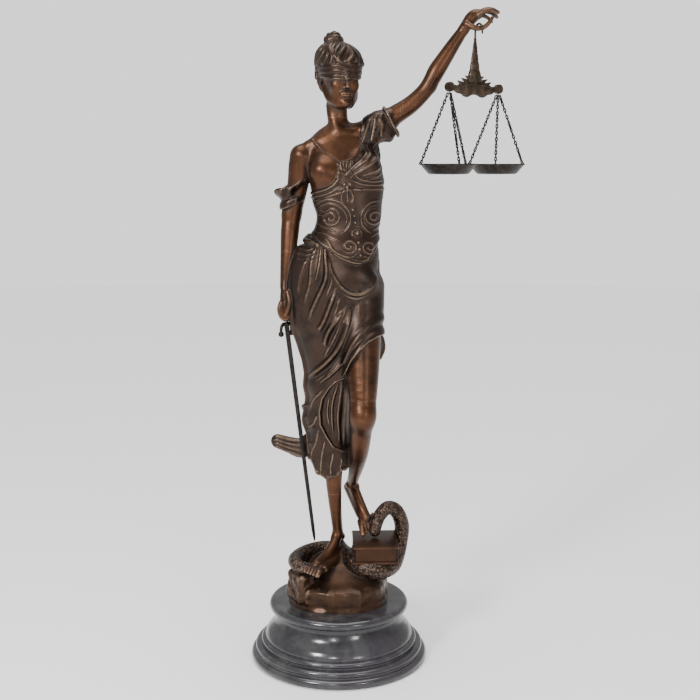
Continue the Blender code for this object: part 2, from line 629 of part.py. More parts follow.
def plinth_profile():
    """A turned foot of three rounded steps, a bell that narrows to a neck, and a round-edged top."""
    foot = PLINTH_FOOT_RADIUS
    second = foot - FOOT_BEAD
    third = second - SECOND_BEAD - THIRD_BEAD
    points = [(0, 0)]
    points += arc(foot - FOOT_BEAD, FOOT_BEAD, FOOT_BEAD, -90, 80, 5)
    points += arc(second - SECOND_BEAD, 2 * FOOT_BEAD + SECOND_BEAD + BEAD_GAP, SECOND_BEAD, -60, 75, 4)
    third_height = 2 * (FOOT_BEAD + SECOND_BEAD) + THIRD_BEAD + BEAD_GAP
    points += arc(third - THIRD_BEAD, third_height, THIRD_BEAD, -60, 75, 3)
    bell_foot = third - 1.4 * THIRD_BEAD
    bell_low = third_height + THIRD_BEAD + BEAD_GAP
    edge_height = PLINTH_HEIGHT - TOP_BEAD
    bell_high = edge_height - 1.3 * TOP_BEAD
    for share, rise in ((1.0, 0.0), (0.98, 0.12), (0.78, 0.28), (0.5, 0.44), (0.24, 0.6), (0.05, 0.8), (0.0, 1.0)):
        swell = PLINTH_NECK_RADIUS + (bell_foot - PLINTH_NECK_RADIUS) * share
        points.append((swell, bell_low + (bell_high - bell_low) * rise))
    points += arc(PLINTH_TOP_RADIUS - TOP_BEAD, edge_height, TOP_BEAD, -60, 90, 5)
    points.append((0, PLINTH_HEIGHT))
    return points


def add_plinth(made):
    bm = lathe(plinth_profile(), PLINTH_SIDES)
    return add_object("marble_plinth", bm, made)


def seat_cutter(name, place, radius, length):
    """A hidden cylinder that cuts a flat seat, from its middle place along +Z or -Z for a negative length."""
    bm = bmesh.new()
    bmesh.ops.create_cone(bm, cap_ends=True, segments=12, radius1=radius, radius2=radius, depth=abs(length))
    bmesh.ops.translate(bm, verts=bm.verts, vec=place + Vector((0, 0, length / 2)))
    mesh = bpy.data.meshes.new(name)
    bm.to_mesh(mesh)
    bm.free()
    cutter = bpy.data.objects.new(name, mesh)
    bpy.context.scene.collection.objects.link(cutter)
    cutter.hide_render = True
    cutter.display_type = "WIRE"
    return cutter


def add_figure(made):
    """The bronze casting: figure, drapery, ground, snake and book in one."""
    low = (-112, -92, MODEL_FLOOR - 7 * GRID_STEP - 0.2)
    values, low = sampled(low, (246, 96, MODEL_FLOOR + MODEL_HEIGHT + 8), GRID_STEP)
    points, faces = surface(unpinched(values), low, GRID_STEP)
    floor = MODEL_FLOOR + SEAT_GAP / UNIT
    points[:, 2] = np.where(points[:, 2] < MODEL_FLOOR + 0.6 * GRID_STEP, floor, points[:, 2])
    points[:, 2] -= MODEL_FLOOR
    mesh = bpy.data.meshes.new("figure")
    mesh.from_pydata(points * UNIT, [], faces)
    mesh.update()
    mesh.materials.append(made)
    mesh.shade_smooth()
    figure = bpy.data.objects.new("figure", mesh)
    bpy.context.scene.collection.objects.link(figure)
    figure.location.z = PLINTH_HEIGHT
    thin = figure.modifiers.new("thin", "DECIMATE")
    thin.ratio = FIGURE_TRIANGLES / (2 * len(faces))
    guard_top = model_point(*FIST) + Vector((0, 0, SEAT_GAP))
    tip = model_point(*SWORD_TIP) - Vector((0, 0, SEAT_GAP))
    seats = (("fist_seat", guard_top, COLLAR_RADIUS + SEAT_MARGIN, -SEAT_DEPTH),
             ("tip_seat", tip, BLADE_WIDTH / 2 + SEAT_MARGIN, SEAT_DEPTH))
    for name, place, radius, length in seats:
        cut = figure.modifiers.new(name, "BOOLEAN")
        cut.operation = "DIFFERENCE"
        cut.solver = "EXACT"
        cut.object = seat_cutter(name, place, radius, length)
    return figure


def add_sword(made):
    """A straight tapering blade, and a guard with curled arms that end in balls."""
    top = model_point(*FIST)
    tip = model_point(*SWORD_TIP)
    down = (tip - top).normalized()
    bm = bmesh.new()
    length = (tip - top).length
    rings = []
    for along, size in ((0, 0.6), (BLADE_POINT, 1.0), (length * 0.5, 0.9), (length - BLADE_POINT, 0.75)):
        wide = BLADE_WIDTH / 2 * size
        thick = BLADE_THICKNESS / 2 * size
        corners = ((wide, 0), (0, thick), (-wide, 0), (0, -thick))
        rings.append([bm.verts.new((x, y, -along)) for x, y in corners])
    for upper, lower in zip(rings, rings[1:]):
        for i in range(4):
            bm.faces.new((upper[i], upper[(i + 1) % 4], lower[(i + 1) % 4], lower[i]))
    point = bm.verts.new((0, 0, -length))
    for i in range(4):
        bm.faces.new((rings[-1][i], rings[-1][(i + 1) % 4], point))
    bm.faces.new(rings[0][::-1])
    turn = down.to_track_quat("-Z", "Y").to_matrix().to_4x4()
    bmesh.ops.transform(bm, matrix=Matrix.Translation(top) @ turn, verts=bm.verts)
    blade = add_object("sword", bm, made)
    heading = Vector((math.cos(GUARD_TURN), math.sin(GUARD_TURN), 0))
    guard = bmesh.new()
    bmesh.ops.create_cone(guard, cap_ends=True, segments=12, radius1=0.8 * COLLAR_RADIUS, radius2=COLLAR_RADIUS,
                          depth=COLLAR_HEIGHT, matrix=Matrix.Translation(top - Vector((0, 0, COLLAR_HEIGHT / 2))))
    pieces = [add_object("guard_collar", guard, made)]
    for sign in (-1, 1):
        end = top + sign * GUARD_REACH * heading
        rows = [top - Vector((0, 0, COLLAR_HEIGHT / 2)), top.lerp(end, 0.7) - Vector((0, 0, 0.2 * GUARD_DROP)),
                end - Vector((0, 0, 0.4 * GUARD_DROP)), end - Vector((0, 0, 0.85 * GUARD_DROP))]
        pieces.append(add_tube("guard_arm", rows, GUARD_WIRE, made))
        ball = bmesh.new()
        place = end - Vector((0, 0, GUARD_DROP))
        bmesh.ops.create_icosphere(ball, subdivisions=1, radius=BALL_RADIUS, matrix=Matrix.Translation(place))
        pieces.append(add_object("guard_ball", ball, made))
    join(blade, pieces)
    return blade


def add_tube(name, rows, radius, made, bevel=1):
    """A round wire along the rows, with closed ends."""
    curve = bpy.data.curves.new(name, "CURVE")
    curve.dimensions = "3D"
    curve.bevel_depth = radius
    curve.bevel_resolution = bevel
    curve.use_fill_caps = True
    run = curve.splines.new("POLY")
    run.points.add(len(rows) - 1)
    for point, row in zip(run.points, rows):
        point.co = (*row, 1)
    guide = bpy.data.objects.new(name, curve)
    bpy.context.scene.collection.objects.link(guide)
    bpy.context.view_layer.update()
    bm = bmesh.new()
    bm.from_mesh(guide.to_mesh())
    guide.to_mesh_clear()
    bpy.data.objects.remove(guide)
    bmesh.ops.remove_doubles(bm, verts=bm.verts, dist=1e-6)
    return add_object(name, bm, made)


def join(body, pieces):
    """Grow the pieces into the body as one solid, and keep them as hidden guides."""
    for piece in pieces:
        union = body.modifiers.new(piece.name, "BOOLEAN")
        union.operation = "UNION"
        union.solver = "EXACT"
        union.object = piece
        piece.hide_render = True
        piece.display_type = "WIRE"


def beam_frame():
    """The place of the beam's middle, under the hook's shank, and the beam's own turn."""
    shank = model_point(*THUMB) - HOOK_BEND * hook_aim()
    return Matrix.Translation(shank - Vector((0, 0, HOOK_DROP))) @ Matrix.Rotation(SCALE_TURN, 4, "Z")


def hook_aim():
    """The level direction from the hook's shank to its free end."""
    return Vector((math.cos(HOOK_AIM), math.sin(HOOK_AIM), 0))


def beam_outline():
    """Half of the leafy bar's outline, as shares of its length with its top and its underside."""
    rows = ((0, 0.017, -0.0105), (0.14, 0.0165, -0.0115), (0.3, 0.0135, -0.014), (0.42, 0.0095, -0.0135),
            (0.55, 0.0065, -0.0095), (0.7, 0.0035, -0.0075), (0.86, 0.0045, -0.0045), (1.0, 0.003, -0.003))
    return [(share * BEAM_HALF_SPAN, high, dip) for share, high, dip in rows]


def add_beam(made):
    """The scale's beam: a leafy bar with rolled ends, a tapering pillar and a hook over the thumb."""
    frame = beam_frame()
    outline = beam_outline()
    ring = [(x, high) for x, high, _ in outline] + [(x, dip) for x, _, dip in outline[::-1]]
    ring += [(-x, dip) for x, _, dip in outline[1:]] + [(-x, high) for x, high, _ in outline[:0:-1]]
    bm = bmesh.new()
    face = bm.faces.new([bm.verts.new((x, -BEAM_THICKNESS / 2, z)) for x, z in ring])
    grown = bmesh.ops.extrude_face_region(bm, geom=[face])
    moved = [item for item in grown["geom"] if isinstance(item, bmesh.types.BMVert)]
    bmesh.ops.translate(bm, verts=moved, vec=(0, BEAM_THICKNESS, 0))
    bmesh.ops.transform(bm, matrix=frame, verts=bm.verts)
    beam = add_object("scale_beam", bm, made)
    pieces = []
    for sign in (-1, 1):
        roll = bmesh.new()
        place = Matrix.Translation((sign * BEAM_HALF_SPAN, 0, 0)) @ Matrix.Rotation(math.pi / 2, 4, "X")
        bmesh.ops.create_cone(roll, cap_ends=True, segments=14, radius1=ROLL_RADIUS, radius2=ROLL_RADIUS,
                              depth=BEAM_THICKNESS + 0.001, matrix=frame @ place)
        pieces.append(add_object("beam_roll", roll, made))
        eye = bmesh.new()
        place = Matrix.Translation((sign * BEAM_HALF_SPAN, 0, -ROLL_RADIUS))
        bmesh.ops.create_cone(eye, cap_ends=True, segments=10, radius1=2 * EYE_RADIUS, radius2=EYE_RADIUS,
                              depth=EYE_HEIGHT, matrix=frame @ place)
        pieces.append(add_object("beam_eye", eye, made))
    foot = 0.11 * PILLAR_HEIGHT
    rows = []
    for i in range(9):
        share = i / 8
        bulge = 1 + 0.16 * (i % 2)
        rows.append((PILLAR_RADIUS * bulge * (1 - 0.78 * share), foot + (PILLAR_HEIGHT - foot) * share))
    pillar = lathe([(0, foot)] + rows + [(0, PILLAR_HEIGHT)], 10)
    bmesh.ops.scale(pillar, vec=(1, 0.7, 1), verts=pillar.verts)
    bmesh.ops.transform(pillar, matrix=frame, verts=pillar.verts)
    pieces.append(add_object("beam_pillar", pillar, made))
    shank = frame.translation
    bend = HOOK_DROP + SEAT_GAP + HOOK_WIRE - HOOK_BEND
    hook = [shank + Vector((0, 0, PILLAR_HEIGHT - 0.003)), shank + Vector((0, 0, PILLAR_HEIGHT + 0.001))]
    for i in range(10):
        turn = math.radians(180 * i / 9)
        out = HOOK_BEND * (1 - math.cos(turn))
        hook.append(shank + out * hook_aim() + Vector((0, 0, bend + HOOK_BEND * math.sin(turn))))
    hook.append(hook[-1] - Vector((0, 0, HOOK_TAIL)))
    pieces.append(add_tube("beam_hook", hook, HOOK_WIRE, made))
    join(beam, pieces)
    return beam


def hang_points():
    """The two places on the beam that the pans hang from."""
    frame = beam_frame()
    low = -ROLL_RADIUS - EYE_HEIGHT / 2
    return {name: frame @ Vector((sign * BEAM_HALF_SPAN, 0, low)) for name, sign in (("left", -1), ("right", 1))}


def pan_place(name):
    """The middle of a pan's rim, straight below the place that it hangs from."""
    return hang_points()[name] - Vector((0, 0, CHAIN_DROP))


def add_pan(name, made):
    """A shallow round dish with sloping sides."""
    slope = (PAN_RADIUS - PAN_FLOOR_RADIUS) / PAN_DEPTH
    inner = PAN_FLOOR_RADIUS - PAN_WALL + slope * PAN_WALL
    profile = [(0, -PAN_DEPTH), (PAN_FLOOR_RADIUS, -PAN_DEPTH), (PAN_RADIUS, 0), (PAN_RADIUS - PAN_WALL, 0),
               (inner - PAN_WALL / 2, PAN_WALL - PAN_DEPTH), (0, PAN_WALL - PAN_DEPTH)]
    bm = lathe(profile, PAN_SIDES)
    bmesh.ops.translate(bm, verts=bm.verts, vec=pan_place(name))
    return add_object("pan_" + name, bm, made)


def add_chain(name, number, angle, made):
    """A chain drawn taut from the beam's eye to a pan's rim, as a slim knotted rod."""
    top = hang_points()[name] - Vector((0, 0, SEAT_GAP))
    low = pan_place(name) + Vector((0, 0, SEAT_GAP))
    way = Vector((math.cos(math.radians(angle)), math.sin(math.radians(angle)), 0))
    start = top + EYE_RADIUS * way
    end = low + (PAN_RADIUS - CHAIN_RADIUS) * way
    line = end - start
    bm = bmesh.new()
    rings = []
    for i in range(CHAIN_KNOTS + 1):
        place = start + line * (i / CHAIN_KNOTS)
        size = CHAIN_RADIUS * (1 if i % 2 else 0.7)
        corners = [math.tau * k / 5 for k in range(5)]
        rings.append([bm.verts.new(place + Vector((size * math.cos(a), size * math.sin(a), 0))) for a in corners])
    for upper, lower in zip(rings, rings[1:]):
        for k in range(5):
            bm.faces.new((upper[k], lower[k], lower[(k + 1) % 5], upper[(k + 1) % 5]))
    bm.faces.new(rings[0])
    bm.faces.new(rings[-1][::-1])
    return add_object(f"chain_{name}_{number}", bm, made)


def main():
    for old in list(bpy.data.objects):
        bpy.data.objects.remove(old)
    marble = material("black_marble", (0.022, 0.023, 0.026), 0.12, 0.0)
    bronze = material("brown_bronze", (0.110, 0.052, 0.026), 0.36, 0.85)
    dark = material("dark_bronze", (0.050, 0.038, 0.032), 0.45, 0.85)
    iron = material("dark_iron", (0.035, 0.033, 0.033), 0.5, 0.8)
    statue = bpy.data.objects.new("lady_justice", None)
    bpy.context.scene.collection.objects.link(statue)
    made = [add_plinth(marble), add_figure(bronze), add_sword(dark), add_beam(dark)]
    for name, angles in CHAIN_ANGLES.items():
        made.append(add_pan(name, iron))
        for number, angle in enumerate(angles, 1):
            made.append(add_chain(name, number, angle, iron))
    for piece in made:
        piece.parent = statue


if __name__ == "__main__":
    main()
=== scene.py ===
"""Dresses the Lady Justice model: fine bronze sculpture, chains, scales, sword and polished marble plinth."""

import math

import bmesh
import bpy
import numpy as np
from mathutils import Euler, Matrix, Vector


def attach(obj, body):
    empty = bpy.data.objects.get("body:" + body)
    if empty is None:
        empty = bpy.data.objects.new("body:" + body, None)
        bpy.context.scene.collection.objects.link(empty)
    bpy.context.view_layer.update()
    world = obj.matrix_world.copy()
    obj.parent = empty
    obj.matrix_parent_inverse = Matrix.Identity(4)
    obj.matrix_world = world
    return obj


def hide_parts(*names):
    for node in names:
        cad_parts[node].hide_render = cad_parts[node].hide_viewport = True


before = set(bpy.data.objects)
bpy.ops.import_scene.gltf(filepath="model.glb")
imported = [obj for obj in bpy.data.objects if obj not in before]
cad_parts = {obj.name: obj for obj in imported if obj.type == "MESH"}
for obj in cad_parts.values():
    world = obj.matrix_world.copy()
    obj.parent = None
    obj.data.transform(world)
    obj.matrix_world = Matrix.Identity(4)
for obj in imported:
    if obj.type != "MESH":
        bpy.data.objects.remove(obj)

bl_info = {
    "name": "Lady Justice Statue",
    "version": (1, 0, 0),
    "blender": (4, 5, 0),
    "location": "3D Viewport > Sidebar > Statue",
    "description": "Builds the fine surfaces and materials of a bronze Lady Justice on a marble plinth",
    "category": "Object",
}

# The figure is drawn in millimetres, over a plinth 93.5 high
MODEL_FLOOR = 93.5
# Farther off than any stroke
FAR = 1000.0
# How far from its own form a stroke is still worked out
BAND = 7.0
# The radius at which a form's relief is unrolled
ARC = 60.0


def spline(rows, steps=4):
    """A smooth line through the rows, with this many steps from each row to the next."""
    rows = np.asarray(rows, float)
    padded = np.vstack([2 * rows[0] - rows[1], rows, 2 * rows[-1] - rows[-2]])
    t = np.linspace(0, 1, steps, endpoint=False)[:, None]
    found = []
    for a, b, c, d in zip(padded, padded[1:], padded[2:], padded[3:]):
        square = (2 * a - 5 * b + 4 * c - d) * t**2
        cube = (3 * b - a - 3 * c + d) * t**3
        found.append(0.5 * (2 * b + (c - a) * t + square + cube))
    return np.vstack(found + [rows[-1:]])


def soft_min(a, b, soft):
    """The lower of two distances, rounded over where they are within soft of each other."""
    share = np.maximum(soft - np.abs(a - b), 0) / soft
    return np.minimum(a, b) - share * share * soft * 0.25


def soft_max(a, b, soft):
    return -soft_min(-a, -b, soft)


def step(low, high, x):
    """0 below low, 1 above high, smooth between."""
    t = np.clip((x - low) / (high - low), 0, 1)
    return t * t * (3 - 2 * t)


LATTICE = np.random.default_rng(11).random((32, 32, 32)).astype(np.float32)


def noise(p, size):
    """Smooth lumps about size across, from -1 to 1."""
    q = p / size
    cell = np.floor(q).astype(int)
    f = q - cell
    f = f * f * (3 - 2 * f)
    total = np.zeros(len(p), np.float32)
    for dx, dy, dz in np.ndindex(2, 2, 2):
        corner = LATTICE[(cell[:, 0] + dx) % 32, (cell[:, 1] + dy) % 32, (cell[:, 2] + dz) % 32]
        total += corner * np.abs(1 - dx - f[:, 0]) * np.abs(1 - dy - f[:, 1]) * np.abs(1 - dz - f[:, 2])
    return total * 2 - 1


def limb_distance(p, line, flat=None, reach=40.0):
    """Distance to a round tapering tube along rows of x, y, z, radius. flat is an axis and how thin it is."""
    best = np.full(len(p), FAR, np.float32)
    lowest, highest = p.min(0) - reach, p.max(0) + reach
    for a, b in zip(line, line[1:]):
        if (np.maximum(a, b)[:3] < lowest).any() or (np.minimum(a, b)[:3] > highest).any():
            continue
        along = (b - a)[:3]
        t = np.clip((p - a[:3]) @ along / (along @ along + 1e-9), 0, 1)
        off = p - a[:3] - t[:, None] * along
        if flat is not None:
            axis = np.array(flat[0], float)
            off = off + ((1 / flat[1] - 1) * (off @ axis))[:, None] * axis
        distance = np.sqrt((off * off).sum(1)) - (a[3] + (b[3] - a[3]) * t)
        np.minimum(best, distance, out=best)
    return best


def turned(p, centre, angles):
    """The points in the frame of a form at centre, turned by angles in degrees."""
    turn = np.array(Euler([math.radians(x) for x in angles]).to_matrix())
    return (p - np.array(centre, float)) @ turn


def lump_distance(p, centre, radii, turn=(0, 0, 0)):
    """Distance to an ellipsoid, turned by angles in degrees."""
    q = turned(p, centre, turn) / np.array(radii, float)
    far = np.sqrt((q * q).sum(1)) + 1e-6
    steep = np.sqrt(((q / np.array(radii, float)) ** 2).sum(1)) + 1e-6
    return far * (far - 1) / steep


def block_distance(p, centre, halves, turn=(0, 0, 0), round_edge=2.0):
    """Distance to a box with rounded edges, turned by angles in degrees."""
    q = np.abs(turned(p, centre, turn)) - np.array(halves, float) + round_edge
    outside = np.sqrt((np.maximum(q, 0) ** 2).sum(1))
    return outside + np.minimum(q.max(1), 0) - round_edge


class Loft:
    """An upright form of oval sections, from rows of z, x, y, half width, half depth."""

    def __init__(self, rows, power=2.2, cap=6.0):
        table = spline(rows, 6)
        self.table = table[np.argsort(table[:, 0])]
        self.lean = np.gradient(self.table[:, 1:], self.table[:, 0] + 1e-4 * np.arange(len(table)), axis=0)
        self.power = power
        self.cap = cap

    def section(self, z):
        return [np.interp(z, self.table[:, 0], self.table[:, i]) for i in (1, 2, 3, 4)]

    def angle(self, x, z):
        """The angle round the form, 0 in front, of a place seen from the front at x."""
        centre, _, wide, _ = self.section(z)
        return np.arcsin(np.clip((x - centre) / wide, -1, 1))

    def front(self, x, z, proud=0.0):
        """The place on the form's front at x and z, standing this much proud of it."""
        centre, y, wide, deep = self.section(z)
        out = max(0.0, 1 - abs((x - centre) / (wide + 0.5)) ** self.power) ** (1 / self.power)
        return (x, float(y - (deep + proud) * out), z)

    def around(self, p):
        """The angle round the form of each point, 0 in front and 90 degrees at +X."""
        x, y, wide, deep = self.section(p[:, 2])
        return np.arctan2((p[:, 0] - x) / wide, -(p[:, 1] - y) / deep)

    def distance(self, p):
        z = p[:, 2]
        x, y, wide, deep = self.section(z)
        dx, dy, dwide, ddeep = [np.interp(z, self.table[:, 0], self.lean[:, i]) for i in range(4)]
        across, along = (p[:, 0] - x) / wide, (p[:, 1] - y) / deep
        u, v = np.abs(across) + 1e-6, np.abs(along) + 1e-6
        n = self.power
        rho = (u**n + v**n) ** (1 / n)
        du, dv = u ** (n - 1) / wide, v ** (n - 1) / deep
        rise = du * (np.sign(across) * dx + u * dwide) + dv * (np.sign(along) * dy + v * ddeep)
        steep = rho ** (1 - n) * np.sqrt(du * du + dv * dv + np.clip(rise * rise, 0,
                                                                     4 * (du * du + dv * dv))) + 1e-6
        side = np.clip((rho - 1) / steep, -60, 60)
        ends = np.maximum(self.table[0, 0] - p[:, 2], p[:, 2] - self.table[-1, 0])
        return soft_max(side, ends, self.cap)


class Relief:
    """A height map round a loft, over angle and z, drawn with strokes."""

    def __init__(self, loft, low, high, pitch):
        self.loft = loft
        self.low = low
        self.pitch = pitch
        self.half = math.pi * ARC
        us = np.arange(-self.half, self.half + pitch, pitch)
        vs = np.arange(low, high + pitch, pitch)
        self.u, self.v = np.meshgrid(us, vs, indexing="ij")
        self.height = np.zeros_like(self.u)

    def front(self, rows, height, width, sharp=1.0):
        """A ridge, or a groove where height is negative, along rows of x, z as seen from the front."""
        line = spline(rows, 6)
        angles = self.loft.angle(line[:, 0], line[:, 1])
        self.draw(np.stack([angles * ARC, line[:, 1]], 1), height, width, sharp)

    def side(self, rows, height, width, sharp=1.0):
        """The same along rows of degrees round the form, z."""
        line = spline(rows, 6)
        self.draw(np.stack([np.radians(line[:, 0]) * ARC, line[:, 1]], 1), height, width, sharp)

    def draw(self, line, height, width, sharp):
        best = np.full(self.u.shape, FAR)
        count = len(line) - 1
        place = np.zeros(self.u.shape)
        for k, (a, b) in enumerate(zip(line, line[1:])):
            low = np.minimum(a, b) - width
            high = np.maximum(a, b) + width
            i = slice(*np.searchsorted(self.u[:, 0], (low[0], high[0])))
            j = slice(*np.searchsorted(self.v[0], (low[1], high[1])))
            u, v = self.u[i, j], self.v[i, j]
            du, dv = b - a
            t = np.clip(((u - a[0]) * du + (v - a[1]) * dv) / (du * du + dv * dv + 1e-9), 0, 1)
            away = np.hypot(u - a[0] - t * du, v - a[1] - t * dv)
            closer = away < best[i, j]
            best[i, j] = np.where(closer, away, best[i, j])
            place[i, j] = np.where(closer, (k + t) / count, place[i, j])
        fade = np.minimum(1, 0.25 + 5 * np.minimum(place, 1 - place))
        bell = np.clip(1 - (best / (width * (0.5 + 0.5 * fade))) ** 2, 0, 1) ** (1.5 * sharp) * height * fade
        if height > 0:
            self.height = np.maximum(self.height, bell + np.minimum(self.height, 0) * (bell > 0) * 0.5)
        else:
            self.height = self.height + bell

    def read(self, p):
        i = np.clip((self.loft.around(p) * ARC + self.half) / self.pitch, 0, self.u.shape[0] - 1.01)
        j = np.clip((p[:, 2] - self.low) / self.pitch, 0, self.u.shape[1] - 1.01)
        i0 = i.astype(int)
        j0 = j.astype(int)
        s = i - i0
        t = j - j0
        h = self.height
        near = h[i0, j0] * (1 - s) + h[i0 + 1, j0] * s
        far = h[i0, j0 + 1] * (1 - s) + h[i0 + 1, j0 + 1] * s
        return near * (1 - t) + far * t


class Clay:
    """A form built up from strokes, in millimetres. Its depth at a point is negative inside."""

    def __init__(self, *builders):
        self.strokes = []
        for build in builders:
            build(self)

    def stroke(self, low, high, reach, shape, soft, cut=False):
        self.strokes.append((np.asarray(low, float) - reach, np.asarray(high, float) + reach, shape, soft,
                             cut))

    def depth(self, points):
        found = np.full(len(points), FAR, np.float32)
        if not len(points):
            return found
        lowest, highest = points.min(0), points.max(0)
        for low, high, shape, soft, cut in self.strokes:
            if (lowest > high).any() or (highest < low).any():
                continue
            index = np.nonzero(((points > low) & (points < high)).all(axis=1))[0]
            if not len(index):
                continue
            distance = shape(points[index])
            if cut:
                found[index] = soft_max(found[index], -distance, soft)
            else:
                found[index] = soft_min(found[index], distance, soft)
        return found

    def limb(self, rows, soft=4.0, steps=4, flat=None, cut=False):
        line = spline(rows, steps)
        reach = line[:, 3].max() + soft + BAND
        low, high = line[:, :3].min(0), line[:, :3].max(0)
        self.stroke(low, high, reach, lambda p: limb_distance(p, line, flat, reach), soft, cut)

    def lump(self, centre, radii, turn=(0, 0, 0), soft=6.0, cut=False):
        reach = max(radii) + soft + BAND
        self.stroke(centre, centre, reach, lambda p: lump_distance(p, centre, radii, turn), soft, cut)

    def block(self, centre, halves, turn=(0, 0, 0), soft=2.0, round_edge=2.0, cut=False):
        reach = math.hypot(*halves) + soft + BAND
        self.stroke(centre, centre, reach, lambda p: block_distance(p, centre, halves, turn, round_edge),
                    soft, cut)

    def loft(self, form, soft=4.0, relief=None):
        low, high = loft_box(form)

        def shape(p):
            distance = form.distance(p)
            return distance - relief.read(p) if relief else distance

        self.stroke(low, high, soft + BAND + 6, shape, soft)


def loft_box(form):
    """The lowest and the highest corner that a loft reaches."""
    table = form.table
    low = (table[:, 1:3] - table[:, 3:5]).min(0)
    high = (table[:, 1:3] + table[:, 3:5]).max(0)
    return (*low, table[0, 0]), (*high, table[-1, 0])


SKIRT = Loft([
    (290, -13, 12, 27, 27), (312, -13, 12, 31, 30), (345, -13, 12, 32.5, 31), (363, -13.5, 12, 33, 31),
    (382, -16, 10, 36, 33), (401, -14, 8, 35, 34), (420, -11, 6, 35.5, 36), (440, -9, 4, 41, 38),
    (458, -4, 3, 44.5, 40), (477, -2, 3, 50, 42), (496, 0, 3, 59.5, 44), (515, -3.2, 3, 63.4, 46),
    (533, -6, 3, 66, 48), (552, -7.8, 4, 67, 50), (570, -8.8, 4, 67.8, 51), (590, -8.8, 4, 68.2, 51.5),
    (607, -7.7, 4, 68.3, 50.5), (626, -5.3, 4, 67.4, 49), (644, -2.3, 3, 64.4, 46), (656, 0, 2, 60, 43),
])

TRUNK = Loft([
    (600, -6, 3, 62, 46), (630, -1, 2, 59, 43), (650, 3, 1, 54, 41), (665, 8, 0, 49.5, 39),
    (680, 13, 0, 46, 37.5), (698, 16.4, 0, 46, 37), (716, 14.5, 0, 49, 37.5), (735, 13.4, 1, 52.5, 39),
    (752, 12.6, 2, 55, 40), (770, 9, 4, 55, 38), (788, 5, 6, 54, 33), (804, 4, 8, 50, 28),
    (818, 3, 9, 40, 23), (830, 2, 9, 26, 18),
], power=2.1)


def slit_edge(x):
    """How low the skirt's slit edge hangs over the bare thigh, at x."""
    return np.interp(x, (-6, 9, 20, 32, 45, 59, 66), (440, 462, 486, 501, 513, 520, 521))


def wrap_edge(z):
    """Where the overskirt's edge curls away from the layer under it, as x at each height."""
    return np.interp(z, (334, 337, 345, 362, 380, 400, 422, 440, 450, 456),
                     (17, 6, -7, -17, -25, -26, -22, -12, -2, 12))


def lobe_edge(x):
    """The corset's lower edge, as a height at each x across the front."""
    return np.interp(x, (-60, -37, -23, -9, 3, 18, 30, 45, 54, 64),
                     (682, 671, 656, 647, 637, 630, 628, 634, 650, 664))


def neckline(x):
    """The dress's upper edge across the chest, as a height at each x."""
    return np.interp(x, (-60, -42, -21, -12, -4, 0, 3, 20, 28, 33, 36, 44),
                     (730, 736, 740, 744, 751, 763, 779, 782, 787, 802, 838, 900))


def curl(centre, radius, start, turns, squeeze=1.0, inner=0.12, count=30):
    """A spiral scroll in x and z, from its outer end inward, with start in degrees and full turns."""
    rows = []
    for i in range(count + 1):
        share = i / count
        angle = math.radians(start) + share * turns * math.tau
        size = radius * ((1 - share) + inner * share)
        rows.append((centre[0] + squeeze * size * math.cos(angle), centre[1] + size * math.sin(angle)))
    return rows


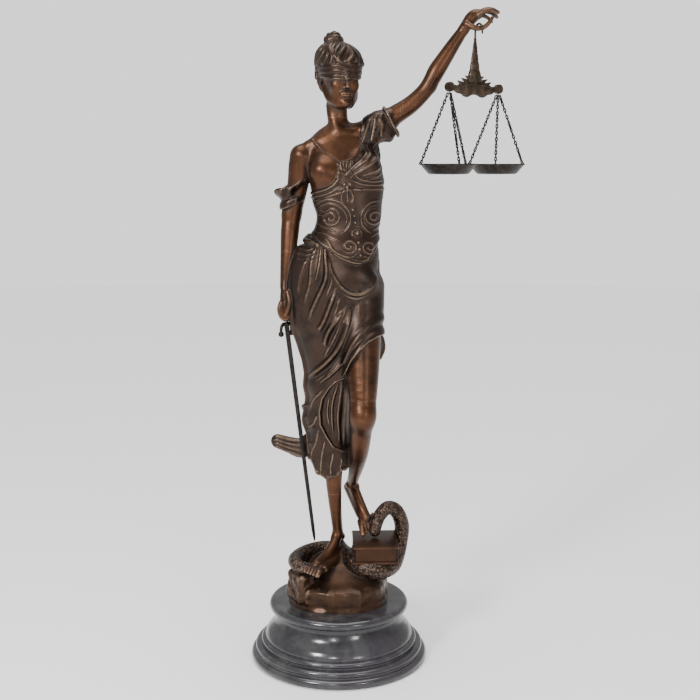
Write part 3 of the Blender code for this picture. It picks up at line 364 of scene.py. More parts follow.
def skirt_folds():
    """The skirt's folds: long sweeps from the belly to the outer knee, and loose ones behind."""
    relief = Relief(SKIRT, 284, 668, 0.8)
    u = np.degrees(relief.u / ARC)
    v = relief.v
    relief.height += 1.2 * np.sin(np.radians(u * 7) + 0.02 * v) * step(90, 130, np.abs(u)) * step(640, 560, v)
    long_folds = (
        ([(-29, 660), (-37, 632), (-40, 598), (-48, 572)], 2.6, 5),
        ([(-24, 656), (-27, 628), (-34, 600)], 1.8, 3.5),
        ([(-19, 658), (-16, 613), (-30, 576), (-42, 546)], 3.6, 6),
        ([(-12, 640), (-9, 606), (-18, 580)], 2.2, 4),
        ([(-3, 591), (-19, 546), (-28, 528)], 3.6, 6), ([(3, 580), (-6, 552), (-20, 522)], 2.0, 4),
        ([(7, 558), (-14, 525), (-19, 503)], 4.2, 6.5),
        ([(12, 566), (2, 536), (-8, 512), (-20, 488)], 2.6, 4.5),
        ([(17, 561), (10, 527), (0, 501), (-19, 476), (-41, 455)], 5.6, 8),
        ([(24, 556), (17, 522), (8, 496), (-10, 470), (-30, 452)], 2.8, 4.5),
        ([(32, 538), (21, 513), (13, 491), (-6, 467), (-24, 450)], 4.4, 6.5),
        ([(42, 540), (30, 517), (20, 497), (8, 474)], 2.8, 4.5), ([(50, 546), (40, 524), (30, 508)], 2.2, 4),
        ([(-44, 640), (-54, 610), (-58, 585)], 1.4, 4), ([(-33, 652), (-46, 648), (-58, 652)], 1.4, 2.6),
        ([(-33, 645), (-47, 641), (-60, 644)], 1.4, 2.6), ([(-34, 638), (-48, 634), (-60, 636)], 1.0, 2.4),
        ([(24, 596), (29, 570), (27, 540)], 2.2, 4), ([(36, 594), (39, 568), (36, 540)], 2.6, 4),
        ([(46, 594), (49, 570), (47, 548)], 2.2, 4), ([(55, 600), (57, 570), (56, 540)], 1.8, 4),
    )
    for rows, height, width in long_folds:
        relief.front(rows, 1.25 * height, width)
        relief.front([(x + 0.9 * width, z - 0.4 * width) for x, z in rows], -0.7 * height, 0.9 * width)
    under_folds = (
        ([(0, 446), (-8, 420), (-10, 396), (-8, 366)], 3.0, 4.5),
        ([(6, 448), (2, 420), (-1, 390), (2, 352)], 3.4, 5),
        ([(12, 440), (10, 410), (8, 380), (9, 345)], 3.0, 4.5),
        ([(-14, 424), (-17, 400), (-14, 378)], 2.0, 4),
        ([(-22, 436), (-34, 420), (-40, 404)], 2.6, 5), ([(-30, 396), (-36, 380), (-44, 372)], 2.6, 5),
        ([(-28, 372), (-32, 350), (-38, 330), (-36, 306)], 2.8, 5),
        ([(-20, 352), (-24, 330), (-26, 300)], 2.8, 5),
        ([(-8, 334), (-12, 315), (-12, 298)], 2.8, 5), ([(4, 326), (1, 312), (2, 302)], 2.4, 4),
    )
    for rows, height, width in under_folds:
        relief.front(rows, height, width)
    for k, angle in enumerate(range(-164, -64, 16)):
        lean = 7 * math.sin(1.7 * k)
        rows = [(angle + lean, 630), (angle, 560), (angle + lean, 480), (angle - 6, 400), (angle - lean, 300)]
        relief.side(rows, 3.4 + math.sin(2.3 * k), 8)
        relief.side([(a + 7, z) for a, z in rows], -1.6, 5)
    for k, angle in enumerate(range(84, 190, 15)):
        lean = 6 * math.cos(1.9 * k)
        rows = [(angle, 630), (angle + lean, 540), (angle - 4, 440), (angle + lean, 370), (angle, 300)]
        relief.side(rows, 3.6 + math.cos(1.4 * k), 8)
        relief.side([(a + 7, z) for a, z in rows], -1.6, 5)
    across = SKIRT.section(v)
    x = across[0] + across[2] * np.sin(relief.u / ARC)
    under = step(-1.2, 1.2, x - wrap_edge(v)) * step(330, 340, v) * step(458, 450, v) * (np.abs(u) < 90)
    relief.height += 2.4 * (1 - under) * step(500, 460, v) - 2.2 * under
    edge = np.abs(x - wrap_edge(v) + 1.6) * (v > 334) * (v < 456) + 90 * ((v <= 334) | (v >= 456))
    relief.height += 1.4 * np.clip(1 - (edge / 2.2) ** 2, 0, 1) * (np.abs(u) < 90)
    return relief


def corset_relief():
    """The bodice's relief: folds from the left shoulder, corset scrolls, beads and a piped edge."""
    relief = Relief(TRUNK, 600, 838, 0.7)
    across = TRUNK.section(relief.v)
    x = across[0] + across[2] * np.sin(relief.u / ARC)
    front = np.abs(relief.u) < 90 / 57.3 * ARC
    low = np.where(front, lobe_edge(x), 676.0)
    high = np.where(front, np.interp(x, (-50, -32, -14, 3, 14, 66), (716, 722, 729, 735, 739, 741)), 728.0)
    shell = step(-0.8, 0.8, relief.v - low) * step(0.8, -0.8, relief.v - high)
    lines = [
        ([(-34, 712), (-23, 721), (-12, 724), (2, 721), (12, 713), (18, 702), (18, 690), (13, 680),
          (6, 674)], 1.5, 1.8),
        ([(-30, 706), (-21, 715), (-11, 718), (0, 715), (9, 708), (13, 699), (13, 690), (9, 682)], 1.0, 1.4),
        (curl((-9, 697), 14, 100, -1.9), 1.5, 1.7),
        (curl((-9, 697), 9, 240, -1.0), 0.8, 1.3),
        ([(-24, 712), (-18, 706), (-8, 710), (0, 708)], 1.0, 1.8),
        ([(-26, 702), (-20, 700), (-14, 706)], 1.0, 1.8),
        ([(-28, 690), (-20, 684), (-10, 680), (-2, 676)], 1.1, 1.6),
        (curl((51, 698), 14, 80, 1.9), 1.5, 1.7),
        ([(58, 722), (46, 720), (37, 711), (33, 700), (34, 688), (40, 679), (48, 673)], 1.5, 1.8),
        ([(56, 716), (47, 714), (40, 706), (37, 699), (38, 690), (43, 683)], 1.0, 1.4),
        ([(62, 688), (55, 682), (48, 678)], 1.0, 1.6),
        (curl((15, 656), 11, 200, 1.6), 1.4, 1.6),
        ([(-17, 668), (-10, 660), (-4, 649), (6, 642), (18, 640), (24, 646)], 1.3, 1.6),
        (curl((40, 654), 11, -20, -1.6), 1.4, 1.6),
        ([(57, 668), (55, 656), (48, 645), (38, 639), (30, 642)], 1.3, 1.6),
        ([(-30, 676), (-18, 674), (-6, 668), (4, 664)], 1.0, 1.8),
        ([(60, 676), (50, 672), (44, 668)], 1.0, 1.8),
        ([(27, 669), (21, 672), (22, 678), (27, 681), (32, 678), (33, 672), (27, 669)], 1.0, 1.4),
        ([(14, 741), (8, 734), (6, 724), (10, 716)], 1.5, 2.2),
        ([(14, 741), (20, 734), (22, 725), (19, 718)], 1.5, 2.2),
        ([(14, 741), (14, 730), (15, 720)], 1.8, 2.4), ([(14, 741), (4, 739), (-4, 734)], 1.2, 2.2),
        ([(14, 741), (24, 740), (34, 736)], 1.2, 2.2),
    ]
    for rows, height, width in lines:
        relief.front(rows, height, width)
    beads = ((22, 709, 1.9), (24, 700, 1.7), (25, 690, 2.1), (27, 675, 3.4), (27, 661, 1.9), (27, 651, 2.3),
             (28, 642, 1.8),
             (14, 741, 3.6), (10, 746, 2.2), (18, 746, 2.2))
    for bx, bz, size in beads:
        angle = float(TRUNK.angle(bx, bz)) * ARC
        away = np.hypot(relief.u - angle, relief.v - bz)
        dome = size * np.sqrt(np.clip(1 - (away / size) ** 2, 0, 1)) * (away < size)
        relief.height = np.maximum(relief.height, dome)
    folds = (
        ([(60, 840), (52, 815), (45, 795), (34, 772), (20, 756)], 2.0, 3.4),
        ([(66, 838), (60, 812), (56, 790)], 1.8, 3.2),
        ([(52, 840), (43, 816), (36, 796), (27, 776), (17, 762)], 1.8, 3),
        ([(44, 836), (38, 812), (30, 790)], 1.2, 2.4),
        ([(64, 800), (58, 780), (44, 764), (28, 757)], 1.4, 2.8),
        ([(66, 780), (60, 764), (46, 754), (30, 752)], 1.4, 2.6),
        ([(21, 762), (33, 753), (50, 750), (66, 753)], 1.8, 2.4),
        ([(20, 752), (36, 746), (54, 745), (68, 747)], 1.6, 2.2),
        ([(-50, 731), (-34, 733), (-16, 738), (-4, 746), (4, 758)], 2.0, 2.6),
        ([(-48, 725), (-30, 728), (-12, 733), (4, 742)], 1.6, 2.2),
        ([(4, 781), (6, 768), (11, 756)], 1.0, 1.5), ([(8, 782), (10, 768), (13, 757)], 1.0, 1.5),
        ([(13, 782), (13, 768), (14, 757)], 1.0, 1.5), ([(18, 783), (17, 768), (16, 757)], 1.0, 1.5),
        ([(23, 784), (21, 770), (18, 758)], 1.0, 1.5),
        ([(33, 800), (27, 783), (18, 768), (10, 757)], 1.8, 2.2),
    )
    for rows, height, width in folds:
        relief.front(rows, height, width)
    for k, angle in enumerate(range(100, 262, 14)):
        rows = [(angle + 30, 822), (angle + 14, 790), (angle, 740)]
        relief.side([((a + 180) % 360 - 180, z) for a, z in rows], 1.2 + 0.4 * math.sin(k), 4)
    relief.height += 1.3 * shell
    for rise in (1.6, 6.0):
        edge = np.abs(relief.v - low - rise)
        relief.height += (1.1 if rise < 2 else 0.8) * np.clip(1 - (edge / 1.7) ** 2, 0, 1) * front
    edge = np.abs(relief.v - high + 1.4)
    relief.height += 0.9 * np.clip(1 - (edge / 1.6) ** 2, 0, 1)
    return relief


SKIRT_FOLDS = skirt_folds()
CORSET = corset_relief()


def add_arms(clay):
    """Both arms and hands: the right round the sword's grip, the left raised to hold the scales."""
    clay.limb([(-54, 5, 787, 18.5), (-57, 7, 772, 18), (-61, 9, 745, 16), (-67, 12, 718, 15),
               (-71, 13, 700, 14.8)], 5)
    clay.limb([(-71, 14, 702, 14.2), (-73.5, 9, 676, 14), (-76, 3, 645, 12), (-79.5, -3, 612, 9),
               (-81, -6, 592, 7.6)], 5)
    clay.lump((-72, 24, 704), (6, 6, 8), soft=6)
    clay.limb([(-81, -6, 594, 7.2), (-81, -9, 578, 10.5), (-80, -10, 560, 11), (-79.5, -10, 548, 9)], 4,
              flat=((1, 0, 0), 0.72))
    for i in range(4):
        y = -17 + 5.4 * i
        clay.limb([(-86.5, y + 2, 568 - i, 4), (-89, y, 558 - i, 3.9), (-86, y - 1, 547 - i, 3.8),
                   (-79, y - 1, 543.5 - i, 3.6), (-74, y, 548 - i, 3.2)], 1.4, 3)
    clay.lump((-79.5, -13, 557), (9.5, 9.5, 17), soft=3)
    clay.limb([(-76, -16, 584, 4.4), (-74, -20, 572, 4.2), (-76, -21, 560, 3.9), (-80, -20, 551, 3.4)], 3.5)
    clay.limb([(58, 5, 826, 20), (82, 4, 846, 15), (108, 2, 863, 13.2), (128, 1, 882, 12), (138, 0, 897, 12),
               (146, 0, 912, 12.8), (155, 0, 926, 12), (172, 0, 952, 9.8), (187.7, 0, 974.7, 7.6)], 5)
    clay.lump((137, 3, 890), (9, 9, 9), soft=6)
    clay.limb([(186, 0, 972, 7.6), (194, 1, 985, 9), (201, 1, 992, 9), (207, 1, 994, 7.4)], 4,
              flat=((0, 1, 0), 1.05))
    fingers = (
        [(206, -8, 992, 3.6), (215, -10, 997, 3.4), (224, -10, 998, 3.1), (233, -9, 994, 2.7)],
        [(207, -3, 995, 3.7), (217, -4, 1000, 3.5), (227, -4, 1000, 3.2), (236, -3, 996, 2.7)],
        [(207, 3, 994, 3.6), (217, 3, 998, 3.4), (227, 3, 996, 3.1), (235, 3, 990, 2.6)],
        [(205, 8, 991, 3.3), (214, 9, 993, 3.1), (222, 9, 990, 2.8), (228, 9, 984, 2.4)],
    )
    for rows in fingers:
        clay.limb(rows, 1.6)
    clay.limb([(190, -6, 979, 5.4), (199, -10.5, 974, 4.3), (207, -11, 972.5, 3.8), (216, -11, 975, 3.5),
               (223, -10, 982, 3.1), (227, -9, 988, 2.6)], 3)


def add_legs(clay):
    """The straight right leg, and the bent left leg with its toes on the book."""
    clay.limb([(-28, 6, 560, 38), (-22, 3, 500, 32), (-15, 0, 440, 25), (-11, -2, 396, 19)], 6)
    clay.limb([(-11, -1, 392, 18), (-9.5, 0, 360, 16), (-8, 2, 315, 14.6), (-7, 4, 270, 11.6),
               (-4, 9, 225, 8.8),
               (-1.5, 13, 196, 7.8)], 5)
    clay.limb([(-9, 8, 380, 13), (-8, 14, 345, 15.5), (-8, 15, 318, 14), (-6, 15, 280, 10),
               (-2.5, 19, 235, 7),
               (0.5, 22, 196, 6.2), (1, 24, 180, 7)], 6)
    clay.lump((-8, 12, 188), (3.4, 4.4, 4.4), soft=3)
    clay.lump((7, 15, 189), (3.4, 4.4, 4.4), soft=3)
    clay.limb([(3, 25, 170, 9.5), (0, 14, 170, 9.5), (-8, 0, 167, 9), (-22, -20, 162, 8.6),
               (-36, -42, 158, 7.4)], 4,
              flat=((0, 0, 1), 0.92))
    clay.limb([(-2, 12, 192, 8.4), (-9, -2, 178, 8.4), (-20, -18, 167, 8), (-32, -36, 161, 7)], 6)
    clay.limb([(8, 22, 164, 6), (2, 0, 161, 6.5), (-12, -26, 157, 6.5), (-22, -46, 156, 6)], 5)
    for i in range(5):
        along = Vector((-0.52 + 0.05 * i, -0.85, 0))
        across = Vector((0.85, -0.52, 0))
        root = Vector((-45, -44, 158)) + across * (5.7 * i)
        size = 3.2 + 0.3 * i if i < 4 else 5
        reach = 12 + 1.7 * i
        rows = [(*root, size), (*(root + along * reach * 0.5 + Vector((0, 0, 1.5))), size),
                (*(root + along * reach + Vector((0, 0, -2.4))), size * 0.82)]
        clay.limb(rows, 1.2, 4)
    clay.limb([(36, -2, 585, 31), (36, -18, 530, 29.5), (37, -36, 470, 25.4), (37.5, -51, 428, 21),
               (37, -57, 402, 17.8)], 5)
    clay.lump((37, -64, 397), (9, 9, 14), (22, 0, 0), 16)
    clay.limb([(37, -55, 402, 17.2), (35, -45, 374, 16.2), (32, -23, 338, 14.8), (28, 6, 306, 11.6),
               (24, 30, 282, 8.8),
               (22, 44, 268, 8)], 14)
    clay.limb([(36.5, -40, 384, 14), (33.5, -16, 352, 15.5), (30, 2, 328, 14), (25, 28, 298, 8.6),
               (20, 48, 274, 6.2),
               (17, 58, 262, 6.6)], 6)
    clay.lump((14, 42, 266), (3.6, 4.6, 4.6), soft=3)
    clay.lump((29, 42, 264), (3.6, 4.6, 4.6), soft=3)
    clay.limb([(16, 62, 257, 8.6), (21, 48, 251, 9), (29, 28, 238, 9), (36, 14, 226, 8.6),
               (42, 4, 217, 7.6)], 4,
              flat=((0.2, 0.4, 0.9), 0.9))
    clay.limb([(23, 44, 264, 8), (30, 28, 250, 8), (38, 12, 235, 7.6), (45, 4, 224, 6.4)], 5)
    for i in range(5):
        root = Vector((34 + 5 * i, 4 + 2.4 * i, 217 + 2.4 * i))
        size = 3.7 - 0.25 * i if i else 4.8
        rows = [(*root, size), (*(root + Vector((2.5, -11 + 0.6 * i, -7 + 0.3 * i))), size),
                (*(root + Vector((4.5, -19 + 1.5 * i, -15 + 0.4 * i))), size * 0.85)]
        clay.limb(rows, 1.2, 4)


def add_chest(clay):
    """Neck, shoulders, chest and back."""
    clay.limb([(-0.5, 6, 866, 14.4), (-0.5, 7, 848, 14.6), (1, 9, 830, 16.4), (3, 10, 815, 22)], 8)
    clay.limb([(-12, 9, 822, 11), (-34, 8, 803, 11.5), (-54, 5, 788, 17.5)], 8)
    clay.limb([(14, 9, 824, 12), (36, 7, 826, 14), (60, 5, 832, 21)], 8)
    clay.limb([(-30, 18, 780, 20), (4, 20, 786, 22), (40, 18, 790, 22)], 10)
    clay.loft(TRUNK, 8)
    clay.lump((-23, -23, 765), (17.5, 15, 17), (0, 0, -8), 15)
    clay.lump((42, -23, 775), (18, 15.5, 17), (0, 0, 8), 15)
    clay.limb([(0, -5.5, 821, 2.6), (-22, -5, 813, 2.8), (-44, -2, 805, 3)], 12)
    clay.limb([(14, -5.5, 822, 2.6), (34, -5, 826, 2.8), (50, -2, 834, 3)], 12)
    clay.limb([(-12, 4, 862, 3), (-8, -1.5, 844, 3), (2, -7, 826, 3)], 12)


def add_face(clay):
    """The skull and a calm, even face, drawn looking along -Y from the middle of the head."""
    clay.lump((0, 8, 915), (31, 37, 37), soft=6)
    face = Loft([(851, 0, -21, 9, 9), (858, 0, -19, 14, 14.5), (866, 0, -14, 19, 20),
                 (876, 0, -9, 22.5, 25.5),
                 (888, 0, -6, 25, 28.5), (900, 0, -3, 26.5, 31), (912, 0, 0, 28, 33), (922, 0, 2, 28, 33)],
                 2.15, 5)
    clay.loft(face, 7)
    for side in (1, -1):
        clay.limb([(24 * side, 8, 884, 6), (20 * side, -4, 868, 6), (9 * side, -20, 858, 6)], 7)
    for side in (1, -1):
        clay.lump((13.5 * side, -24, 886), (8, 7, 8), soft=9)
    clay.limb([(0, -32.5, 905, 2.6), (0, -36.5, 895, 2.7), (0, -40.5, 887, 3)], 4)
    clay.lump((0, -41.5, 883.8), (3.5, 3.6, 3.1), soft=2.5)
    for side in (1, -1):
        clay.lump((4.2 * side, -37.2, 882.6), (2.6, 3.4, 2.4), soft=2.2)
    clay.lump((0, -34.5, 872), (9, 3.4, 5), soft=5)
    clay.limb([(-7, -34.4, 871.7, 0.6), (-3, -36.9, 873.2, 1.2), (0, -37.2, 872.8, 1.1),
               (3, -36.9, 873.2, 1.2),
               (7, -34.4, 871.7, 0.6)], 2.2, 4)
    clay.limb([(-5.4, -34.6, 870.6, 0.6), (-1.8, -36.8, 869.5, 1.5), (1.8, -36.8, 869.5, 1.5),
               (5.4, -34.6, 870.6, 0.6)], 2.2, 4)
    clay.limb([(-6.6, -36, 871.5, 0.3), (-3, -38.5, 871.7, 0.5), (0, -38.8, 871.4, 0.5),
               (3, -38.5, 871.7, 0.5),
               (6.6, -36, 871.5, 0.3)], 1, 4, cut=True)
    clay.lump((0, -37.6, 864.8), (5, 1.8, 2), soft=4, cut=True)
    clay.lump((0, -30.5, 858), (7, 6.4, 6), soft=5)


def blindfold(p, skull):
    """A folded cloth bound round the head over the eyes, lower in front than behind."""
    front = step(30, -34, p[:, 1])
    low = 899 - 5.5 * front + 0.04 * np.abs(p[:, 0])
    high = 914 + 9 * front
    turn = np.arctan2(p[:, 0], -p[:, 1])
    wave = p[:, 2] + 1.6 * np.sin(2.2 * turn + 0.6) + 1.2 * np.sin(5 * turn)
    pleats = 1.1 * np.abs(np.sin(wave * math.pi / 7.4)) ** 0.8
    return soft_max(skull - 2.6 - pleats, np.maximum(low - p[:, 2], p[:, 2] - high), 2.2)


def add_hair(clay):
    """Wavy locks swept up from the brow and nape into a knot on the crown."""

    def dome(p):
        hairline = 917 - 30 * step(-8, 34, p[:, 1])
        return soft_max(lump_distance(p, (0, 9, 921), (35.4, 41, 34.3)), hairline - p[:, 2], 3)

    clay.stroke((-40, -40, 880), (45, 60, 975), 12, dome, 3)
    knot = Vector((-8.5, 13, 956))
    count = 26
    for i in range(count):
        around = math.tau * (i + 0.5) / count
        out = Vector((math.sin(around), -math.cos(around), 0))
        low = 921 - 31 * float(step(0.2, 1.0, out.y))
        rows = []
        for k in range(7):
            share = k / 6
            sway = 0.26 * math.sin(math.pi * 1.8 * share + 0.9 * i) * (1 - share)
            turn = around + sway + 0.5 * share
            rise = math.sin(share * math.pi / 2)
            spread = math.cos(share * math.pi / 2) ** 0.75
            x = knot.x * share + 35.5 * spread * math.sin(turn)
            y = 9 * (1 - share) + knot.y * share - 41 * spread * math.cos(turn)
            z = low + (953 - low) * rise
            rows.append((x, y, z, 4.3 - 1.5 * share + 0.5 * math.sin(2.1 * i)))
        clay.limb(rows, 1.3, 4)
        thin = [(x * 1.02, y * 1.02, z + 1.8, r * 0.42) for x, y, z, r in rows]
        clay.limb(thin, 0.8, 3)
    clay.lump((knot.x, knot.y, 958), (15.5, 15, 9.5), soft=3)
    for k, (height, radius, size) in enumerate(((953, 10.5, 5.4), (959, 11, 5.6), (964.5, 7.5, 5),
                                                (966.5, 1.5, 4.6))):
        ring = []
        for i in range(13):
            turn = math.tau * i / 12 + k
            ring.append((knot.x + radius * math.cos(turn), knot.y + radius * math.sin(turn),
                         height + 1.6 * math.sin(3 * turn), size + 0.6 * math.sin(4 * turn)))
        clay.limb(ring, 1.4, 2)
    clay.limb([(-27, 14, 904, 4.6), (-29, 19, 894, 4.4), (-26, 21, 884, 4), (-21, 20, 878, 2.6)], 2)
    clay.limb([(-24, 18, 900, 3.6), (-25, 24, 889, 3.4), (-21, 27, 881, 2.4)], 1.6)
    clay.limb([(27, 16, 904, 4.4), (28, 22, 893, 4), (24, 24, 884, 2.6)], 2)


def bodice(p):
    """The bodice's depth: the chest grown by the cloth's thickness, under a slanting neckline."""
    body = CHEST.depth(p) - 1.7
    body = np.where(p[:, 0] > 84 + 0.12 * (p[:, 2] - 830), FAR, body)
    lobe = step(-0.8, 0.8, p[:, 2] - lobe_edge(p[:, 0])) * step(682, 650, p[:, 2]) * (p[:, 1] < 4)
    body = body - 5.6 * lobe - CORSET.read(p) * step(-64, -50, p[:, 0])
    edge = np.where(p[:, 1] < 6, neckline(p[:, 0]),
                    np.interp(p[:, 0], (-60, -20, 20, 60), (752, 776, 806, 850)))
    ends = np.maximum(p[:, 2] - edge, 604 - p[:, 2])
    return soft_max(body, ends, 1.4)


def add_drapery(clay):
    """The skirt, the bodice with its corset, the sleeves and the strap."""
    clay.stroke((-64, -60, 596), (84, 56, 880), 8, bodice, 2)

    def skirt(p):
        top = np.where(p[:, 1] < 4, lobe_edge(p[:, 0]) + 2, 662)
        foot = np.interp(p[:, 0], (-46, -41, -36, -26, -12, 0, 8, 16, 26),
                         (322, 313, 301, 293, 292, 298, 304, 308, 316))
        foot = foot + 1.8 * np.sin(p[:, 0] / 2.4) + 1.2 * np.sin(p[:, 1] / 3.1)
        lip = 2.0 * np.clip(1 - ((p[:, 2] - foot - 3) / 4) ** 2, 0, 1)
        depth = SKIRT.distance(p) - SKIRT_FOLDS.read(p) - lip
        return soft_max(soft_max(depth, p[:, 2] - top, 4), foot - p[:, 2], 1.6)

    clay.stroke(*loft_box(SKIRT), 16, skirt, 3)
    clay.lump((-13, 12, 288), (23, 22, 15), soft=3, cut=True)
    for x, z, drop in ((-47, 440, -12), (-45, 424, -10), (-50, 402, -16), (-49, 384, -10), (-44, 364, -14),
                       (-42, 342, -12),
                       (-41, 322, -12)):
        clay.limb([(x + 8, -12, z + 8, 2.0), (x - 2, -2, z + 3, 3.2), (x - 4.5, 9, z, 3.6),
                   (x - 1, 20, z + drop * 0.6, 3),
                   (x + 8, 28, z + drop, 2.2)], 2.4, 4)
    thigh = spline([(36, -2, 590, 33), (36, -16, 540, 32), (37, -34, 490, 30.5), (38, -50, 440, 27)])

    def overskirt(p):
        across = p[:, 2] - slit_edge(p[:, 0])
        pleats = 1.5 * np.sin(across / 3.1) * step(46, 8,
                                                   across) + 1.1 * np.clip(1 - np.abs(across - 1.5) / 2, 0,
                                                                           1)
        return soft_max(limb_distance(p, thigh) - 1.8 - pleats, -across, 1.6)

    clay.stroke((0, -60, 430), (75, 40, 620), 44, overskirt, 4)
    clay.limb([(57, 6, 519, 4), (65, 10, 512, 5), (68, 13, 494, 5.5), (65, 14, 478, 3)], 2,
              flat=((0, 1, 0), 0.6))
    clay.limb([(60, 0, 516, 4), (64, 4, 500, 4), (62, 6, 484, 2.6)], 2)
    clay.lump((25, -32, 604), (31, 13, 22), soft=18)
    belly = [(-16, -40, 642, 1.6), (-8, -46, 616, 2.2), (4, -48.5, 597, 2.6), (19, -49.5, 586, 2.8),
             (34, -48.5, 584.5, 2.8), (47, -42.5, 592, 2.4), (57, -32, 608, 2)]
    clay.limb(belly, 2.4)
    clay.limb([(x - 1.5, y + 2.4, z - 6, 2.2) for x, y, z, _ in belly], 2.4)
    for shift in (0, 3.4):
        clay.limb([(-38 + shift, -8, 812, 1.1), (-25 + shift, -17.5, 798, 1.2), (-9 + shift, -27.5, 784, 1.2),
                   (9 + shift, -36.5, 768, 1.2)], 0.8)
    clay.limb([(34, -38, 578, 3), (32, -41, 562, 4.4), (31, -44, 544, 4.2), (31, -45, 532, 2.6)], 2)
    clay.limb([(-44, 12, 668, 4), (-50, -6, 662, 4), (-42, -26, 660, 4.4), (-30, -36, 656, 4)], 3)
    add_sleeves(clay)
    for z, size, out in ((441, 7.5, -42), (425, 6, -43), (386, 8, -45), (374, 7, -46), (350, 7, -41),
                         (330, 6.5, -40)):
        clay.lump((out, 14, z), (size, 13, size), (0, 20, 0), 3)
    tail = [(-38, 27, 344, 17), (-58, 32, 330, 16.5), (-78, 35, 334, 13.5), (-97, 37, 340, 11.5)]
    clay.limb(tail, 4, flat=((0.1, 1, 0), 0.42))
    for rise, reach in ((-9, 3), (-3, 1), (3, 4), (9, 0)):
        rows = [(x, y - 5.5, z + rise * r / 12, 2.6) for x, y, z, r in tail[1:]]
        clay.limb(rows + [(-99 - reach, 35, 340 + rise * 0.9, 2)], 2)


def add_sleeves(clay):
    """A frilled band slipped down the right arm, and a short gathered sleeve on the raised left arm."""

    def frill(p):
        tilt = p[:, 2] - 0.42 * (p[:, 0] + 72) - 0.10 * (p[:, 1] - 10)
        around = np.arctan2(p[:, 1] - 11, p[:, 0] + 70)
        across = np.hypot(p[:, 0] + 70, p[:, 1] - 11)
        flare = 16.6 + 9.5 * step(724, 745, tilt) ** 1.3
        flare = flare + (1.5 * np.sin(7 * around) + 0.8 * np.sin(11 * around + 1)) * step(720, 742, tilt)
        edge = np.maximum(722 - tilt, tilt - 746 - 1.6 * np.sin(5 * around))
        collar = soft_max(np.abs(across - flare + 1.5) - 1.6, edge, 1.5)
        band = soft_max(np.abs(across - 17.2 - 0.35 * np.sin(9 * around)) - 2.2,
                        np.maximum(714 - tilt, tilt - 725), 3)
        return soft_min(collar, band, 3)

    clay.stroke((-100, -22, 708), (-42, 42, 765), 6, frill, 1.5)
    clay.limb([(44, 3, 823, 18), (56, 4, 831, 19), (67, 4, 837, 18.5), (76, 4, 842, 17)], 5)
    clay.limb([(66, 2, 833, 16), (73, 2, 823, 13), (76, 3, 816, 8)], 5)
    ring = []
    for i in range(25):
        turn = math.tau * i / 24
        up = math.sin(turn)
        reach = 19.5 - 2.5 * up
        ring.append((78 - 0.55 * reach * up, 4 - 17.5 * math.cos(turn),
                     841 + reach * up + 1.2 * math.sin(5 * turn),
                     2.5 + 0.5 * math.sin(4 * turn)))
    clay.limb(ring, 2, 2)
    fans = (((46, -17, 836), (34, -29, 801)), ((55, -18.5, 834), (48, -24, 805)),
            ((65, -18, 834), (64, -18, 813)))
    for middle, end in fans:
        for side in (1, -1):
            rows = [((66 + middle[0]) / 2, side * (middle[1] * 0.70), 849, 1.2),
                    ((50 + 3 * middle[0]) / 4 + 2, side * (middle[1] * 0.9), 842, 2.0),
                    (middle[0], side * middle[1] + 4 * (side < 0) + 1.5, middle[2], 2.8),
                    (end[0] * 0.8 + middle[0] * 0.2, side * (end[1] + 1.5) + 8 * (side < 0),
                     end[2] * 0.8 + middle[2] * 0.2, 1.2)]
            clay.limb(rows, 5, 4)


def add_ground(clay):
    """Rocky ground with a broken front ledge."""
    rock = Loft([(MODEL_FLOOR - 6, -1, 1, 79, 73), (108, -1, 1, 79.5, 73), (121, -1, 1, 79, 72.5),
                 (127, -1, 3, 76.5, 69),
                 (134, 0, 8, 70, 58), (146, 2, 14, 59, 46), (156, 2, 18, 44, 36), (162, 2, 20, 28, 26)],
                power=2.3, cap=0.6)

    def broken(p):
        around = np.arctan2(p[:, 0], -p[:, 1])
        wall = step(134, 120, p[:, 2]) * step(92, 102, p[:, 2])
        facets = 2.6 * np.abs(np.sin(5.5 * around + 0.6)) + 1.4 * np.abs(np.sin(8.5 * around + 2))
        return rock.distance(p) + (0.2 + facets) * wall + 0.9 * noise(p, 26) * step(92, 102, p[:, 2])

    clay.stroke((-85, -80, 85), (85, 85, 168), 16, broken, 3)

    def crag(p):
        block = block_distance(p, (-59, -33, 125), (14, 21, 23), (3, 5, 36), 6)
        lower = block_distance(p, (-42, -51, 117), (13, 11, 12), (4, -6, 24), 5)
        return soft_min(block, lower, 4) + 2.0 * noise(p, 11) + 0.8 * noise(p, 4.5)

    clay.stroke((-85, -70, 95), (-22, 0, 160), 8, crag, 3.5)
    clay.limb([(-49, -64, 152, 3), (-48, -67, 140, 3.6), (-46, -68, 128, 2.4)], 1.5, cut=True)
    clay.limb([(-78, -40, 141, 1.8), (-66, -54, 138, 2), (-54, -62, 136, 1.6)], 1.5, cut=True)
    for line in (((-70, -50, 130), (-58, -62, 126), (-44, -70, 122), (-30, -74, 121)),
                 ((-30, -72, 124), (-20, -75, 121), (-8, -77, 122), (6, -77, 120)),
                 ((-20, -70, 130), (-16, -75, 124), (-13, -77, 118))):
        clay.limb([(*place, 1.5) for place in line], 1.6, cut=True)
    clay.lump((60, -6, 146), (32, 27, 19), soft=8)


